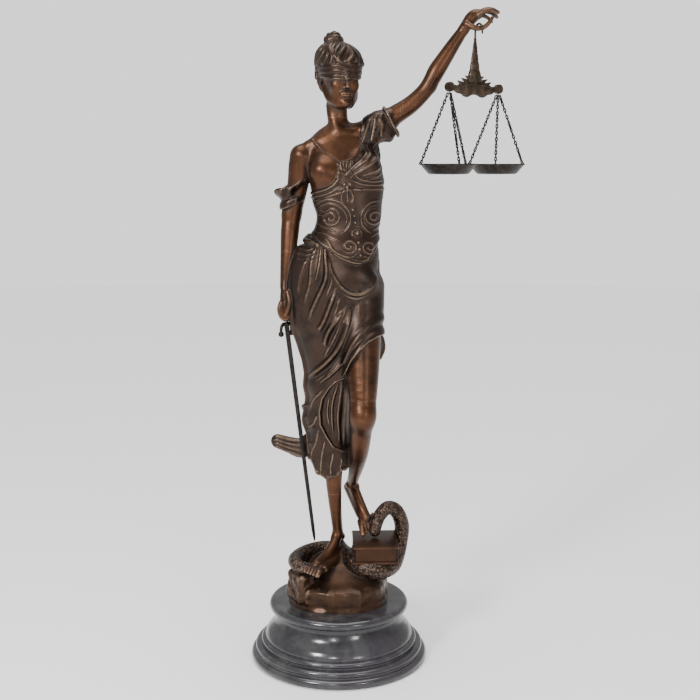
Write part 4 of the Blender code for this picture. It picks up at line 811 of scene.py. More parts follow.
def add_snake(clay):
    """The snake: head on the crag, a coil round the foot, and a loop ending under the other foot."""
    clay.limb([(-50, -42, 156, 8), (-64, -36, 159, 10), (-68, -10, 160, 11.5), (-52, 20, 161, 12),
               (-26, 36, 162, 12),
               (2, 32, 161, 12), (13, 6, 161, 13), (27, -22, 157, 15), (47, -38, 153, 15), (68, -35, 151, 14),
               (85, -16, 152, 13), (93, 6, 161, 12.4), (98, 18, 178, 12.2), (101, 20, 206, 11.8),
               (92, 14, 231, 11.4),
               (78, 8, 238.5, 11), (66, 0, 230, 10.4), (60, -8, 218, 9.6), (57, -10, 206, 9)], 2, 3)
    clay.lump((-50, -43, 157), (14, 9, 8), (0, 0, 30), 3)
    clay.lump((-39, -49, 153.5), (8, 6.5, 5), (0, 0, 30), 3)
    clay.lump((-47, -51, 161), (2.2, 2.2, 2.2), soft=1)
    clay.limb([(-32, -54, 152.5, 1.1), (-42, -56, 152, 1.1), (-54, -52, 153, 1.1)], 0.6, cut=True)


HEAD_TURN = math.radians(15)
HEAD_MIDDLE = np.array((4.5, 2.0))
HEAD_SHARE = 0.94
HEAD_TOP = 952.0


def in_head(points):
    """The points in the head's own frame, which looks along -Y and is drawn a little over size."""
    across = points.copy()
    x, y = points[:, 0] - HEAD_MIDDLE[0], points[:, 1] - HEAD_MIDDLE[1]
    across[:, 0] = (x * math.cos(HEAD_TURN) + y * math.sin(HEAD_TURN)) / HEAD_SHARE
    across[:, 1] = (-x * math.sin(HEAD_TURN) + y * math.cos(HEAD_TURN)) / HEAD_SHARE
    across[:, 2] = HEAD_TOP + (points[:, 2] - HEAD_TOP) / HEAD_SHARE
    return across


CHEST = Clay(add_chest)
LIMBS = Clay(add_arms, add_legs)
FACE = Clay(add_face)
HAIR = Clay(add_hair)
DRAPERY = Clay(add_drapery)
GROUND = Clay(add_ground)
SNAKE = Clay(add_snake)


def figure_layers(points):
    """Signed distances to the skin, the cloth, the hair, the ground and the snake."""
    skin = soft_min(CHEST.depth(points), LIMBS.depth(points), 3)
    cloth = DRAPERY.depth(points)
    hair = np.full(len(points), FAR, np.float32)
    index = np.nonzero((points[:, 2] > 835) & (np.abs(points[:, 0]) < 62))[0]
    if len(index):
        p = in_head(points[index])
        skull = FACE.depth(p)
        skin[index] = soft_min(skin[index], skull * HEAD_SHARE, 8)
        cloth[index] = soft_min(cloth[index], blindfold(p, skull) * HEAD_SHARE, 1.2)
        hair[index] = HAIR.depth(p) * HEAD_SHARE
    return {"skin": skin, "cloth": cloth, "hair": hair, "ground": GROUND.depth(points),
            "snake": SNAKE.depth(points)}


def figure_depth(points):
    found = figure_layers(points)
    joined = soft_min(found["skin"], found["cloth"], 1.6)
    joined = soft_min(joined, found["hair"], 1.4)
    return soft_min(joined, soft_min(found["ground"], found["snake"], 2.0), 2.0)


def evaluated(points, block=16.0):
    """Depths at many points, worked out block by block so that only the strokes nearby count."""
    place = np.floor(points / block).astype(int) + 100
    code = (place[:, 0] * 1000 + place[:, 1]) * 1000 + place[:, 2]
    order = np.argsort(code, kind="stable")
    found = np.empty(len(points), np.float32)
    for part in np.split(order, np.nonzero(np.diff(code[order]))[0] + 1):
        found[part] = figure_depth(points[part])
    return found


def sampled(low, high, pitch, band):
    """Signed distances on a fine grid, worked out only near the surface, and a closed outer layer."""
    counts = np.ceil((high - low) / pitch / 4).astype(int) + 1
    grid = np.stack(np.meshgrid(*(np.arange(n) for n in counts), indexing="ij"), -1).reshape(-1, 3)
    values = evaluated((low + grid * 4 * pitch).astype(np.float32), 32.0).reshape(counts)
    block = np.ones((2, 2, 2), bool)
    for size, margin in ((2, band), (1, 0.55 * band)):
        near = np.abs(values) < 1.73 * size * pitch + margin
        cells = np.zeros(np.array(values.shape) - 1, bool)
        for shift in np.ndindex(2, 2, 2):
            cells |= near[tuple(slice(s, n - 1 + s) for s, n in zip(shift, values.shape))]
        finer = np.full((np.array(values.shape) - 1) * 2 + 1, FAR, np.float32)
        finer[:-1, :-1, :-1] = np.kron(values[:-1, :-1, :-1], block)
        spread = np.kron(cells, block)
        active = np.zeros(finer.shape, bool)
        for shift in np.ndindex(2, 2, 2):
            active[tuple(slice(s, n + s) for s, n in zip(shift, spread.shape))] |= spread
        index = np.stack(np.nonzero(active), 1)
        finer[tuple(index.T)] = evaluated((low + index * size * pitch).astype(np.float32))
        values = finer
    for axis in range(3):
        edge = np.moveaxis(values, axis, 0)
        edge[0] = np.maximum(edge[0], pitch)
        edge[-1] = np.maximum(edge[-1], pitch)
    return values


def surface(values, low, pitch):
    """Corners and four-sided faces where the values cross zero, with one corner in each cell crossed."""
    rings = (((0, 0, 0), (0, -1, 0), (0, -1, -1), (0, 0, -1)),
             ((0, 0, 0), (0, 0, -1), (-1, 0, -1), (-1, 0, 0)),
             ((0, 0, 0), (-1, 0, 0), (-1, -1, 0), (0, -1, 0)))
    inside = values < 0
    cells, places = [], []
    for axis, ring in enumerate(rings):
        unit = np.eye(3, dtype=int)[axis]
        front = tuple(slice(0, n - u) for u, n in zip(unit, values.shape))
        back = tuple(slice(u, None) for u in unit)
        where = np.stack(np.nonzero(inside[front] != inside[back]), 1)
        a = values[tuple(where.T)]
        b = values[tuple((where + unit).T)]
        corners = where[:, None, :] + np.array(ring)
        corners = np.where((a < 0)[:, None, None], corners, corners[:, ::-1])
        cells.append(corners)
        place = where + (a / (a - b))[:, None] * unit
        places.append(np.repeat(place[:, None, :], 4, 1))
    cells = np.concatenate(cells)
    places = np.concatenate(places).reshape(-1, 3)
    names = (cells[..., 0].astype(np.int64) * values.shape[1] + cells[..., 1]) * values.shape[2] + cells[...,
                                                                                                         2]
    _, index, count = np.unique(names.ravel(), return_inverse=True, return_counts=True)
    index = index.ravel()
    points = np.stack([np.bincount(index, weights=places[:, i]) for i in range(3)], 1) / count[:, None]
    return low + points * pitch, index.reshape(-1, 4)


def show(name, mesh, made, node, smooth=40):
    """Links a mesh as a piece in place of a CAD node, shaded smooth up to an angle in degrees."""
    mesh.materials.clear()
    mesh.materials.append(made)
    piece = bpy.data.objects.new(name, mesh)
    bpy.context.scene.collection.objects.link(piece)
    mesh.shade_smooth()
    mesh.set_sharp_from_angle(angle=math.radians(smooth))
    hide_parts(node)
    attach(piece, "root")
    return piece


def mesh_of(name, bm):
    """The finished mesh of a bmesh, with its faces turned outward."""
    bmesh.ops.recalc_face_normals(bm, faces=bm.faces)
    mesh = bpy.data.meshes.new(name)
    bm.to_mesh(mesh)
    bm.free()
    return mesh


def thinned(mesh, most):
    """The mesh with at most this many triangles."""
    carrier = bpy.data.objects.new(mesh.name, mesh)
    bpy.context.scene.collection.objects.link(carrier)
    thin = carrier.modifiers.new("thin", "DECIMATE")
    thin.ratio = min(1.0, most / (2 * len(mesh.polygons)))
    found = bpy.data.meshes.new_from_object(carrier.evaluated_get(bpy.context.evaluated_depsgraph_get()))
    bpy.data.objects.remove(carrier)
    bpy.data.meshes.remove(mesh)
    return found


def mark_layers_and_shade(mesh):
    """Notes at each corner how much it is cloth, hair, ground or snake, how deep it lies in a hollow or a
    fold, and how the surface bends there, which the bronze turns into painted shade and lighter edges.
    """
    count = len(mesh.vertices)
    place = np.empty(3 * count, np.float32)
    normal = np.empty(3 * count, np.float32)
    mesh.vertices.foreach_get("co", place)
    mesh.vertex_normals.foreach_get("vector", normal)
    place = place.reshape(-1, 3) * 1000
    normal = normal.reshape(-1, 3)
    found = figure_layers(place)
    for name in ("cloth", "hair", "ground", "snake"):
        others = np.minimum.reduce([found[k] for k in found if k != name])
        write_values(mesh, name, step(1.2, -0.8, found[name] - others))
    # hollow and fold: how closed in each corner is, looked at 3 and 10 mm out; the bronze paints shade from
    # them
    for name, out in (("hollow", 3.0), ("fold", 10.0)):
        write_values(mesh, name, np.clip(1 - evaluated(place + normal * out) / out, 0, 1))
    # edge: how the surface bends; hollow creases get painted shade, raised edges a lighter colour, partly
    # rubbed wear and partly painted highlight
    ends = np.empty(2 * len(mesh.edges), np.int32)
    mesh.edges.foreach_get("vertices", ends)
    a, b = ends[::2], ends[1::2]
    along = place[b] - place[a]
    along /= np.sqrt((along * along).sum(1, keepdims=True)) + 1e-6
    share = np.bincount(a, minlength=count) + np.bincount(b, minlength=count) + 1e-6
    bend = np.bincount(a, -(normal[a] * along).sum(1), count) + np.bincount(b, (normal[b] * along).sum(1),
                                                                            count)
    bend /= share
    for _ in range(2):
        bend = 0.4 * bend + 0.6 * (np.bincount(a, bend[b], count) + np.bincount(b, bend[a], count)) / share
    write_values(mesh, "edge", bend)


def write_values(mesh, name, values):
    layer = mesh.attributes.new(name, "FLOAT", "POINT")
    layer.data.foreach_set("value", values.astype(np.float32))


ZONES = {
    "head_and_neck": ((-44, -54, 844), (50, 62, 976), 0.75),
    "chest_and_right_arm": ((-112, -64, 642), (94, 64, 884), 1.05),
    "raised_arm": ((91, -34, 832), (246, 34, 1012), 0.95),
    "skirt": ((-112, -88, 424), (84, 72, 645), 1.1),
    "legs_and_tail": ((-112, -92, 262), (84, 84, 427), 1.1),
    "ground_and_snake": ((-112, -92, 84), (128, 92, 265), 1.2),
}


def sculpt(name, made, limit):
    """One zone of the figure as a fine mesh with its layer masks and painted-shade values."""
    low, high, pitch = ZONES[name]
    low = np.array(low, float)
    values = sampled(low, np.array(high, float), pitch, 4.0 if name == "head_and_neck" else 2.8)
    if name == "chest_and_right_arm":
        inner_low, inner_high, _ = ZONES["head_and_neck"]
        grid = [low[i] + pitch * np.arange(values.shape[i]) for i in range(3)]
        inner = [(grid[i] > inner_low[i] + 2) & (grid[i] < inner_high[i] - 2) for i in range(3)]
        inner[2] = grid[2] > inner_low[2] + 2
        values[np.ix_(*inner)] = np.maximum(values[np.ix_(*inner)], pitch)
    points, faces = surface(values, low, pitch)
    mesh = bpy.data.meshes.new(name)
    mesh.from_pydata(points / 1000, [], faces)
    mesh.update()
    mesh.shade_smooth()
    mesh = thinned(mesh, limit)
    mark_layers_and_shade(mesh)
    return show(name, mesh, made, "figure", 70)


class Paint:
    """Helper for one node material."""

    def __init__(self, name):
        self.material = bpy.data.materials.new(name)
        self.material.use_nodes = True
        self.tree = self.material.node_tree
        self.shader = self.tree.nodes["Principled BSDF"]

    def node(self, kind, inputs=(), **settings):
        made = self.tree.nodes.new(kind)
        for key, value in settings.items():
            setattr(made, key, value)
        for key, value in dict(inputs).items():
            self.feed(made, key, value)
        return made

    def feed(self, node, key, value):
        if isinstance(value, bpy.types.NodeSocket):
            self.tree.links.new(value, node.inputs[key])
        else:
            node.inputs[key].default_value = value

    def set(self, **values):
        for key, value in values.items():
            self.feed(self.shader, key.replace("_", " "), value)

    def value(self, name):
        return self.node("ShaderNodeAttribute", attribute_name=name).outputs["Fac"]

    def place(self):
        return self.node("ShaderNodeTexCoord").outputs["Object"]

    def noise(self, scale, detail=4.0, roughness=0.55, place=None):
        made = self.node("ShaderNodeTexNoise",
                         {"Vector": place or self.place(), "Scale": scale, "Detail": detail,
                                                "Roughness": roughness})
        return made.outputs["Fac"]

    def ramp(self, value, stops, smooth=True):
        made = self.node("ShaderNodeValToRGB", {"Fac": value})
        made.color_ramp.interpolation = "EASE" if smooth else "LINEAR"
        points = made.color_ramp.elements
        while len(points) < len(stops):
            points.new(0.5)
        for point, (place, colour) in zip(points, stops):
            point.position = place
            point.color = (*colour, 1) if len(colour) == 3 else colour
        return made.outputs["Color"]

    def span(self, value, low, high, start=0.0, end=1.0):
        made = self.node("ShaderNodeMapRange",
                         {"Value": value, "From Min": low, "From Max": high, "To Min": start,
                                                "To Max": end})
        return made.outputs["Result"]

    def math(self, kind, a, b=0.0):
        made = self.node("ShaderNodeMath", operation=kind, use_clamp=kind in ("MULTIPLY", "ADD", "SUBTRACT"))
        self.feed(made, 0, a)
        self.feed(made, 1, b)
        return made.outputs[0]

    def mix(self, share, a, b, blend="MIX"):
        made = self.node("ShaderNodeMix", data_type="RGBA", blend_type=blend)
        self.feed(made, 0, share)
        self.feed(made, 6, a if isinstance(a, bpy.types.NodeSocket) else (*a, 1))
        self.feed(made, 7, b if isinstance(b, bpy.types.NodeSocket) else (*b, 1))
        return made.outputs[2]

    def bump(self, height, distance, strength=1.0, after=None):
        made = self.node("ShaderNodeBump", {"Height": height, "Distance": distance, "Strength": strength})
        if after is not None:
            self.feed(made, "Normal", after)
        return made.outputs["Normal"]


def bronze():
    """Patinated bronze: warm brown skin, greyer cloth, painted shade in the hollows, folds and creases, and
    raised edges painted lighter, partly as rubbed wear and partly as painted highlight.
    """
    paint = Paint("patinated_bronze")
    place = paint.place()
    cloth, hair = paint.value("cloth"), paint.value("hair")
    ground, hollow = paint.value("ground"), paint.value("hollow")
    fold = paint.value("fold")
    clouds = paint.noise(28, 6, 0.6, place)
    grain = paint.noise(520, 5, 0.7, place)
    skin = paint.ramp(clouds, [(0.3, (0.030, 0.012, 0.005)), (0.55, (0.070, 0.027, 0.011)),
                               (0.8, (0.118, 0.049, 0.020))])
    dress = paint.ramp(clouds, [(0.3, (0.014, 0.008, 0.0055)), (0.55, (0.034, 0.0185, 0.012)),
                                (0.8, (0.060, 0.034, 0.022))])
    rock = paint.ramp(clouds, [(0.3, (0.022, 0.011, 0.006)), (0.55, (0.052, 0.025, 0.013)),
                               (0.8, (0.088, 0.045, 0.024))])
    locks = paint.ramp(clouds, [(0.3, (0.018, 0.010, 0.006)), (0.7, (0.050, 0.027, 0.016))])
    snake = paint.value("snake")
    cells = paint.node("ShaderNodeTexVoronoi", {"Vector": place, "Scale": 260.0}).outputs["Distance"]
    scales = paint.ramp(cells, [(0.15, (0.115, 0.076, 0.052)), (0.45, (0.052, 0.032, 0.022)),
                                (0.75, (0.020, 0.012, 0.009))])
    colour = paint.mix(cloth, skin, dress)
    colour = paint.mix(hair, colour, locks)
    colour = paint.mix(ground, colour, rock)
    colour = paint.mix(snake, colour, scales)
    edge = paint.value("edge")
    # Raised edges painted lighter: partly rubbed wear, partly painted highlight
    rubbed_and_highlight = paint.math("MULTIPLY", paint.span(edge, 0.03, 0.15), paint.span(grain, 0.3, 0.7, 0.6, 1.0))
    colour = paint.mix(paint.math("MULTIPLY", rubbed_and_highlight, 0.6), colour, (0.33, 0.225, 0.15))
    # Painted shade: hollows, folds and hollow creases darkened toward (0.010, 0.008, 0.007), less so on the
    # ground; the same mask makes them rougher and less metallic
    deep = paint.math("MAXIMUM", paint.span(hollow, 0.12, 0.8), paint.span(fold, 0.35, 1.0, 0, 0.8))
    deep = paint.math("MAXIMUM", deep, paint.span(edge, -0.03, -0.16, 0, 0.85))
    deep = paint.math("MULTIPLY", deep, paint.span(ground, 0, 1, 1.0, 0.6))
    colour = paint.mix(paint.math("MULTIPLY", deep, 0.85), colour, (0.010, 0.008, 0.007))
    rough = paint.span(grain, 0.2, 0.8, 0.30, 0.46)
    rough = paint.math("ADD", rough, paint.math("MULTIPLY", deep, 0.35))
    metal = paint.span(deep, 0, 1, 0.86, 0.25)
    fine = paint.bump(paint.noise(900, 4, 0.7, place), 0.0003, 0.35)
    fine = paint.bump(paint.math("MULTIPLY", paint.span(cells, 0.1, 0.7, 1, 0), snake), 0.0012, 0.8, fine)
    paint.set(Base_Color=colour, Roughness=rough, Metallic=metal, Coat_Weight=0.12, Coat_Roughness=0.3,
              Normal=paint.bump(paint.noise(90, 5, 0.6, place), 0.0008, 0.25, fine))
    return paint.material


def plain_metal(name, dark, light, rough, metallic, lump=300):
    """A dark metal with cloudy wear."""
    paint = Paint(name)
    place = paint.place()
    clouds = paint.noise(lump * 0.3, 5, 0.6, place)
    paint.set(Base_Color=paint.ramp(clouds, [(0.3, dark), (0.75, light)]), Metallic=metallic,
              Roughness=paint.span(paint.noise(lump, 5, 0.6, place), 0.25, 0.75, rough - 0.06, rough + 0.08),
              Normal=paint.bump(paint.noise(lump * 2.5, 4, 0.7, place), 0.0003, 0.4))
    return paint.material


def marble():
    """Polished black marble with faint green, violet and grey clouds."""
    paint = Paint("black_marble")
    place = paint.place()
    warp = paint.node("ShaderNodeTexNoise", {"Vector": place, "Scale": 14.0, "Detail": 6.0, "Roughness": 0.6})
    bent = paint.node("ShaderNodeMix", data_type="VECTOR")
    paint.feed(bent, 0, 0.06)
    paint.feed(bent, 4, place)
    paint.feed(bent, 5, warp.outputs["Color"])
    flow = bent.outputs[1]
    clouds = paint.noise(26, 8, 0.62, flow)
    colour = paint.ramp(clouds, [(0.30, (0.010, 0.009, 0.011)), (0.5, (0.024, 0.023, 0.026)),
                                 (0.62, (0.040, 0.040, 0.041)),
                                 (0.8, (0.062, 0.058, 0.062))])
    violet = paint.span(paint.noise(9, 4, 0.5, flow), 0.5, 0.7)
    colour = paint.mix(paint.math("MULTIPLY", violet, 0.5), colour, (0.044, 0.031, 0.044))
    green = paint.span(paint.noise(17, 5, 0.5, flow), 0.55, 0.72)
    colour = paint.mix(paint.math("MULTIPLY", green, 0.3), colour, (0.032, 0.042, 0.034))
    paint.set(Base_Color=colour, Roughness=paint.span(paint.noise(60, 4, 0.6, place), 0.3, 0.7, 0.14, 0.26),
              Coat_Weight=0.15, Coat_Roughness=0.08, IOR=1.45)
    return paint.material


def lathe(profile, sides):
    """A turned form of radius and height pairs about the upright axis."""
    bm = bmesh.new()
    verts = [bm.verts.new((r, 0, z)) for r, z in profile]
    edges = [bm.edges.new(pair) for pair in zip(verts, verts[1:])]
    bmesh.ops.spin(bm, geom=verts + edges, axis=(0, 0, 1), cent=(0, 0, 0), dvec=(0, 0, 0), angle=math.tau,
                   steps=sides)
    bmesh.ops.remove_doubles(bm, verts=bm.verts, dist=1e-5)
    return bm


def bow(r, z, radius, start, end, count):
    """Points along an arc of the profile, from one angle to another in degrees."""
    turns = [math.radians(start + (end - start) * i / count) for i in range(count + 1)]
    return [(r + radius * math.cos(a), z + radius * math.sin(a)) for a in turns]


PLINTH_RADIUS = 0.1395
NECK_RADIUS = 0.0965
TOP_RADIUS = 0.110
TOP_HEIGHT = 0.0935


def plinth_profile():
    """Foot of three rounded steps, a bell that narrows to a neck, and a round-edged top."""
    second = PLINTH_RADIUS - 0.0068
    third = second - 0.0095
    points = [(0, 0), (PLINTH_RADIUS - 0.009, 0)]
    points += bow(PLINTH_RADIUS - 0.0068, 0.0068, 0.0068, -80, 86, 16)
    points += [(second - 0.0008, 0.0142)] + bow(second - 0.005, 0.0194, 0.005, -38, 84, 14)
    points += [(third - 0.0007, 0.0250)] + bow(third - 0.0045, 0.0297, 0.0045, -38, 84, 14)
    bell_foot = third - 0.0063
    low, high = 0.0350, TOP_HEIGHT - 0.0173
    curve = spline([(1.0, 0.0), (0.99, 0.1), (0.8, 0.27), (0.5, 0.44), (0.24, 0.6), (0.05, 0.8),
                    (0.0, 0.93)], 6)
    points += [(NECK_RADIUS + (bell_foot - NECK_RADIUS) * share, low + (high - low) * rise) for share,
               rise in curve]
    points += [(NECK_RADIUS, high - 0.0006), (NECK_RADIUS + 0.0016, high),
               (NECK_RADIUS + 0.0022, high + 0.0014)]
    points += bow(TOP_RADIUS - 0.0075, TOP_HEIGHT - 0.0075, 0.0075, -62, 90, 18)
    points.append((0, TOP_HEIGHT))
    return points


def bridged(bm, rings, ends=True):
    """Joins rings of corners with faces, and closes the first and the last one where ends is set."""
    for a, b in zip(rings, rings[1:]):
        count = len(a)
        for k in range(count):
            bm.faces.new((a[k], a[(k + 1) % count], b[(k + 1) % count], b[k]))
    if ends:
        bm.faces.new(rings[0][::-1])
        bm.faces.new(rings[-1])


def swept(bm, rows, sides=10, squash=None):
    """Adds a closed round tube along rows of x, y, z, radius in metres, to a bmesh."""
    rows = [(Vector(row[:3]), row[3]) for row in rows]
    up = Vector((0, 0, 1))
    rings = []
    across = None
    for i, (place, radius) in enumerate(rows):
        along = (rows[min(i + 1, len(rows) - 1)][0] - rows[max(i - 1, 0)][0]).normalized()
        if across is None:
            across = along.cross(up if abs(along.z) < 0.9 else Vector((1, 0, 0))).normalized()
        else:
            across = (across - along * across.dot(along)).normalized()
        other = along.cross(across)
        ring = []
        for k in range(sides):
            turn = math.tau * k / sides
            offset = radius * (math.cos(turn) * across + math.sin(turn) * other)
            if squash is not None:
                axis = Vector(squash[0])
                offset -= axis * offset.dot(axis) * (1 - squash[1])
            ring.append(bm.verts.new(place + offset))
        rings.append(ring)
    bridged(bm, rings)


def ball(bm, place, radius, level=2):
    bmesh.ops.create_icosphere(bm, subdivisions=level, radius=radius, matrix=Matrix.Translation(place))


def link(bm, place, along, across, length, width, wire, sides=8, steps=16):
    """Adds a chain link: an oval ring of round wire, long way along, in the plane of along and across."""
    along = along.normalized()
    across = (across - along * across.dot(along)).normalized()
    other = along.cross(across)
    straight = (length - width) / 2
    rings = []
    for i in range(steps):
        turn = math.tau * i / steps
        middle = (width / 2 - wire) * (math.cos(turn) * across + math.sin(turn) * along)
        middle += along * straight * (1 if math.sin(turn) > 1e-6 else -1 if math.sin(turn) < -1e-6 else 0)
        out = (math.cos(turn) * across + math.sin(turn) * along)
        ring = []
        for k in range(sides):
            side = math.tau * k / sides
            ring.append(bm.verts.new(place + middle + wire * (math.cos(side) * out + math.sin(side) * other)))
        rings.append(ring)
    bridged(bm, rings + rings[:1], ends=False)


HANG = {"left": Vector((0.16364, -0.02966, 0.878)), "right": Vector((0.24156, 0.0229, 0.878))}
CHAIN_DROP = 0.102
PAN_RADIUS = 0.043
CHAIN_ANGLES = {"left": (180, 62, -58), "right": (176, 12, -100)}


def chain(name, number, made):
    """A chain of wire links, from a ring under the beam's end to the pan's rim."""
    angle = math.radians(CHAIN_ANGLES[name][number - 1])
    way = Vector((math.cos(angle), math.sin(angle), 0))
    top = HANG[name] + 0.0026 * way
    end = HANG[name] - Vector((0, 0, CHAIN_DROP)) + (PAN_RADIUS - 0.0016) * way
    line = end - top
    pitch = 0.0052
    count = round((line.length - 0.002) / pitch)
    pitch = (line.length - 0.001) / count
    across = Vector((-way.y, way.x, 0))
    other = line.normalized().cross(across)
    bm = bmesh.new()
    for i in range(count):
        place = top + line * ((i + 0.5) / count)
        facing = across if i % 2 else other
        facing = (facing + 0.35 * math.sin(2.4 * i + number) * (other if i % 2 else across)).normalized()
        link(bm, place, line, facing, pitch + 0.0030, 0.0048, 0.00102)
    return show(f"chain_{name}_{number}_links", mesh_of("chain", bm), made, f"chain_{name}_{number}")


def pan(name, made):
    """A thin spun dish with a rolled lip and a turned ring inside."""
    rim = HANG[name] - Vector((0, 0, CHAIN_DROP))
    profile = [(0, -0.0150), (0.012, -0.0150), (0.013, -0.0153), (0.0275, -0.0150), (0.0295, -0.0145),
               (0.0315, -0.0128),
               (0.0385, -0.0048), (0.0412, -0.0014)]
    profile += bow(0.0418, -0.0006, 0.0011, -70, 190, 10)
    profile += [(0.0400, -0.0024), (0.0372, -0.0048), (0.0305, -0.0117), (0.0285, -0.0134), (0.0262, -0.0138),
                (0.0255, -0.0132), (0.0246, -0.0138), (0, -0.0140)]
    bm = lathe(profile, 96)
    bmesh.ops.translate(bm, verts=bm.verts, vec=rim)
    for angle in CHAIN_ANGLES[name]:
        way = Vector((math.cos(math.radians(angle)), math.sin(math.radians(angle)), 0))
        place = rim + way * (PAN_RADIUS - 0.0012) + Vector((0, 0, 0.0006))
        link(bm, place, Vector((0, 0, 1)) + 0.3 * way, way, 0.0050, 0.0040, 0.0006)
    return show(f"pan_{name}_dish", mesh_of("pan", bm), made, f"pan_{name}", 50)


THUMB = Vector((0.207, -0.011, 0.977))
HOOK_WAY = Vector((math.cos(math.radians(-60)), math.sin(math.radians(-60)), 0))
HOOK_BEND = 0.0088
HOOK_DROP = 0.0895
SCALE_TURN = math.radians(34)
HALF_SPAN = 0.047


def beam_frame():
    """The beam's middle, under the hook's shank, turned as the scales hang."""
    shank = THUMB - HOOK_BEND * HOOK_WAY
    return Matrix.Translation(shank - Vector((0, 0, HOOK_DROP))) @ Matrix.Rotation(SCALE_TURN, 4, "Z")


def beam(made):
    """The scales' bar: stepped leaves, rolled ends, a tapering pillar and the hook over the thumb."""
    place = beam_frame()
    top = [(0.000, 0.0150), (0.002, 0.0146), (0.005, 0.0138), (0.0075, 0.0146), (0.010, 0.0142),
           (0.0125, 0.0118),
           (0.0155, 0.0108), (0.018, 0.0106), (0.0205, 0.0078), (0.024, 0.0066), (0.027, 0.0064),
           (0.030, 0.0042),
           (0.0345, 0.0028), (0.0390, 0.0036), (0.0425, 0.0050), (0.0465, 0.0040)]
    low = [(0.000, -0.0100), (0.004, -0.0104), (0.008, -0.0118), (0.0115, -0.0136), (0.0145, -0.0140),
           (0.0180, -0.0138), (0.0215, -0.0120), (0.0245, -0.0100), (0.0285, -0.0092), (0.0330, -0.0086),
           (0.0380, -0.0056), (0.0425, -0.0046), (0.0465, -0.0035)]
    bm = bmesh.new()
    half = 0.0035
    count = 48
    rings = []
    for i in range(-count, count + 1):
        x = HALF_SPAN * i / count
        high = float(np.interp(abs(x), [a for a, _ in top], [b for _, b in top]))
        dip = float(np.interp(abs(x), [a for a, _ in low], [b for _, b in low]))
        wave = 0.0005 * math.cos(abs(x) / 0.0075 * math.pi)
        middle = (high + dip) / 2
        tall = (high - dip) / 2
        ring = []
        for k in range(20):
            turn = math.tau * k / 20
            c, s = math.cos(turn), math.sin(turn)
            y = (half + wave * (abs(s) < 0.8)) * math.copysign(abs(c) ** 0.7, c)
            z = middle + tall * math.copysign(abs(s) ** 0.62, s)
            ring.append(bm.verts.new((x, y, z)))
        rings.append(ring)
    bridged(bm, rings)
    for sign in (-1, 1):
        for radius, depth in ((0.0070, 0.0068), (0.0054, 0.0080), (0.0030, 0.0092)):
            turn = Matrix.Translation((sign * HALF_SPAN, 0, 0)) @ Matrix.Rotation(math.pi / 2, 4, "X")
            bmesh.ops.create_cone(bm, cap_ends=True, segments=40, radius1=radius, radius2=radius,
                                  depth=depth, matrix=turn)
        ball(bm, (sign * 0.0085, -0.0022, 0.0150), 0.0034)
        ball(bm, (sign * 0.0085, 0.0022, 0.0150), 0.0034)
        for k, reach in enumerate((0.013, 0.0215, 0.030)):
            for side in (-1, 1):
                rows = [(sign * (reach - 0.009), side * 0.0030, 0.004 - 0.0015 * k, 0.0012),
                        (sign * (reach - 0.004), side * 0.0038, 0.0046 - 0.0016 * k, 0.0019),
                        (sign * reach, side * 0.0036, 0.0030 - 0.0012 * k, 0.0011)]
                swept(bm, rows, 8)
        for start, reach, rise in ((0.004, 0.0165, 0.0165), (0.010, 0.0235, 0.0128), (0.017, 0.0310, 0.0088)):
            rows = [(sign * start, 0, rise - 0.006, 0.0034),
                    (sign * (start + reach) / 2, 0, rise - 0.0030, 0.0030),
                    (sign * (reach - 0.0020), 0, rise - 0.0012, 0.0019),
                    (sign * (reach + 0.0012), 0, rise + 0.0004, 0.0008)]
            swept(bm, rows, 10, ((0, 1, 0), 0.9))
    rows = []
    for i in range(25):
        share = i / 24
        size = float(np.interp(share, (0, 0.12, 0.35, 0.6, 0.85, 1),
                               (0.0135, 0.0118, 0.0082, 0.0056, 0.0034, 0.0022)))
        rows.append((0, 0, 0.008 + 0.063 * share, size * (1 + 0.05 * math.cos(10 * math.pi * share))))
    swept(bm, rows, 20, ((0, 1, 0), 0.6))
    for i in range(5):
        height = 0.020 + 0.011 * i
        wide = 0.0078 * (1 - i / 5.5)
        for side in (-1, 1):
            out = side * 0.0026 * (1 - i / 6)
            swept(bm, [(-wide, out, height, 0.0009), (0, 2 * out, height - 0.004, 0.0014),
                       (wide, out, height, 0.0009)], 8)
    bmesh.ops.transform(bm, matrix=place, verts=bm.verts)
    shank = place.translation
    bend = HOOK_DROP + 0.0020 - HOOK_BEND
    hook = [(*(shank + Vector((0, 0, 0.068))), 0.0018), (*(shank + Vector((0, 0, 0.073))), 0.0016)]
    for i in range(17):
        turn = math.radians(180 * i / 16)
        rise = bend + HOOK_BEND * math.sin(turn)
        middle = shank + HOOK_BEND * (1 - math.cos(turn)) * HOOK_WAY + Vector((0, 0, rise))
        hook.append((*middle, 0.0016))
    hook.append((hook[-1][0], hook[-1][1], hook[-1][2] - 0.004, 0.0015))
    hook.append((hook[-1][0], hook[-1][1], hook[-1][2] - 0.0025, 0.0008))
    swept(bm, hook, 12)
    for name in ("left", "right"):
        eye = HANG[name] + Vector((0, 0, 0.0030))
        swept(bm, [(*(eye + Vector((0, 0, 0.002))), 0.0022), (*(eye - Vector((0, 0, 0.0006))), 0.0014)], 12)
        link(bm, eye - Vector((0, 0, 0.0012)), Vector((0, 0, 1)), Vector((0, 1, 0)), 0.0056, 0.0046, 0.0007)
    return show("scale_beam_ornament", mesh_of("beam", bm), made, "scale_beam", 45)


GUARD_TOP = Vector((-0.0795, -0.009, 0.537))
SWORD_TIP = Vector((-0.039, 0.034, 0.174))


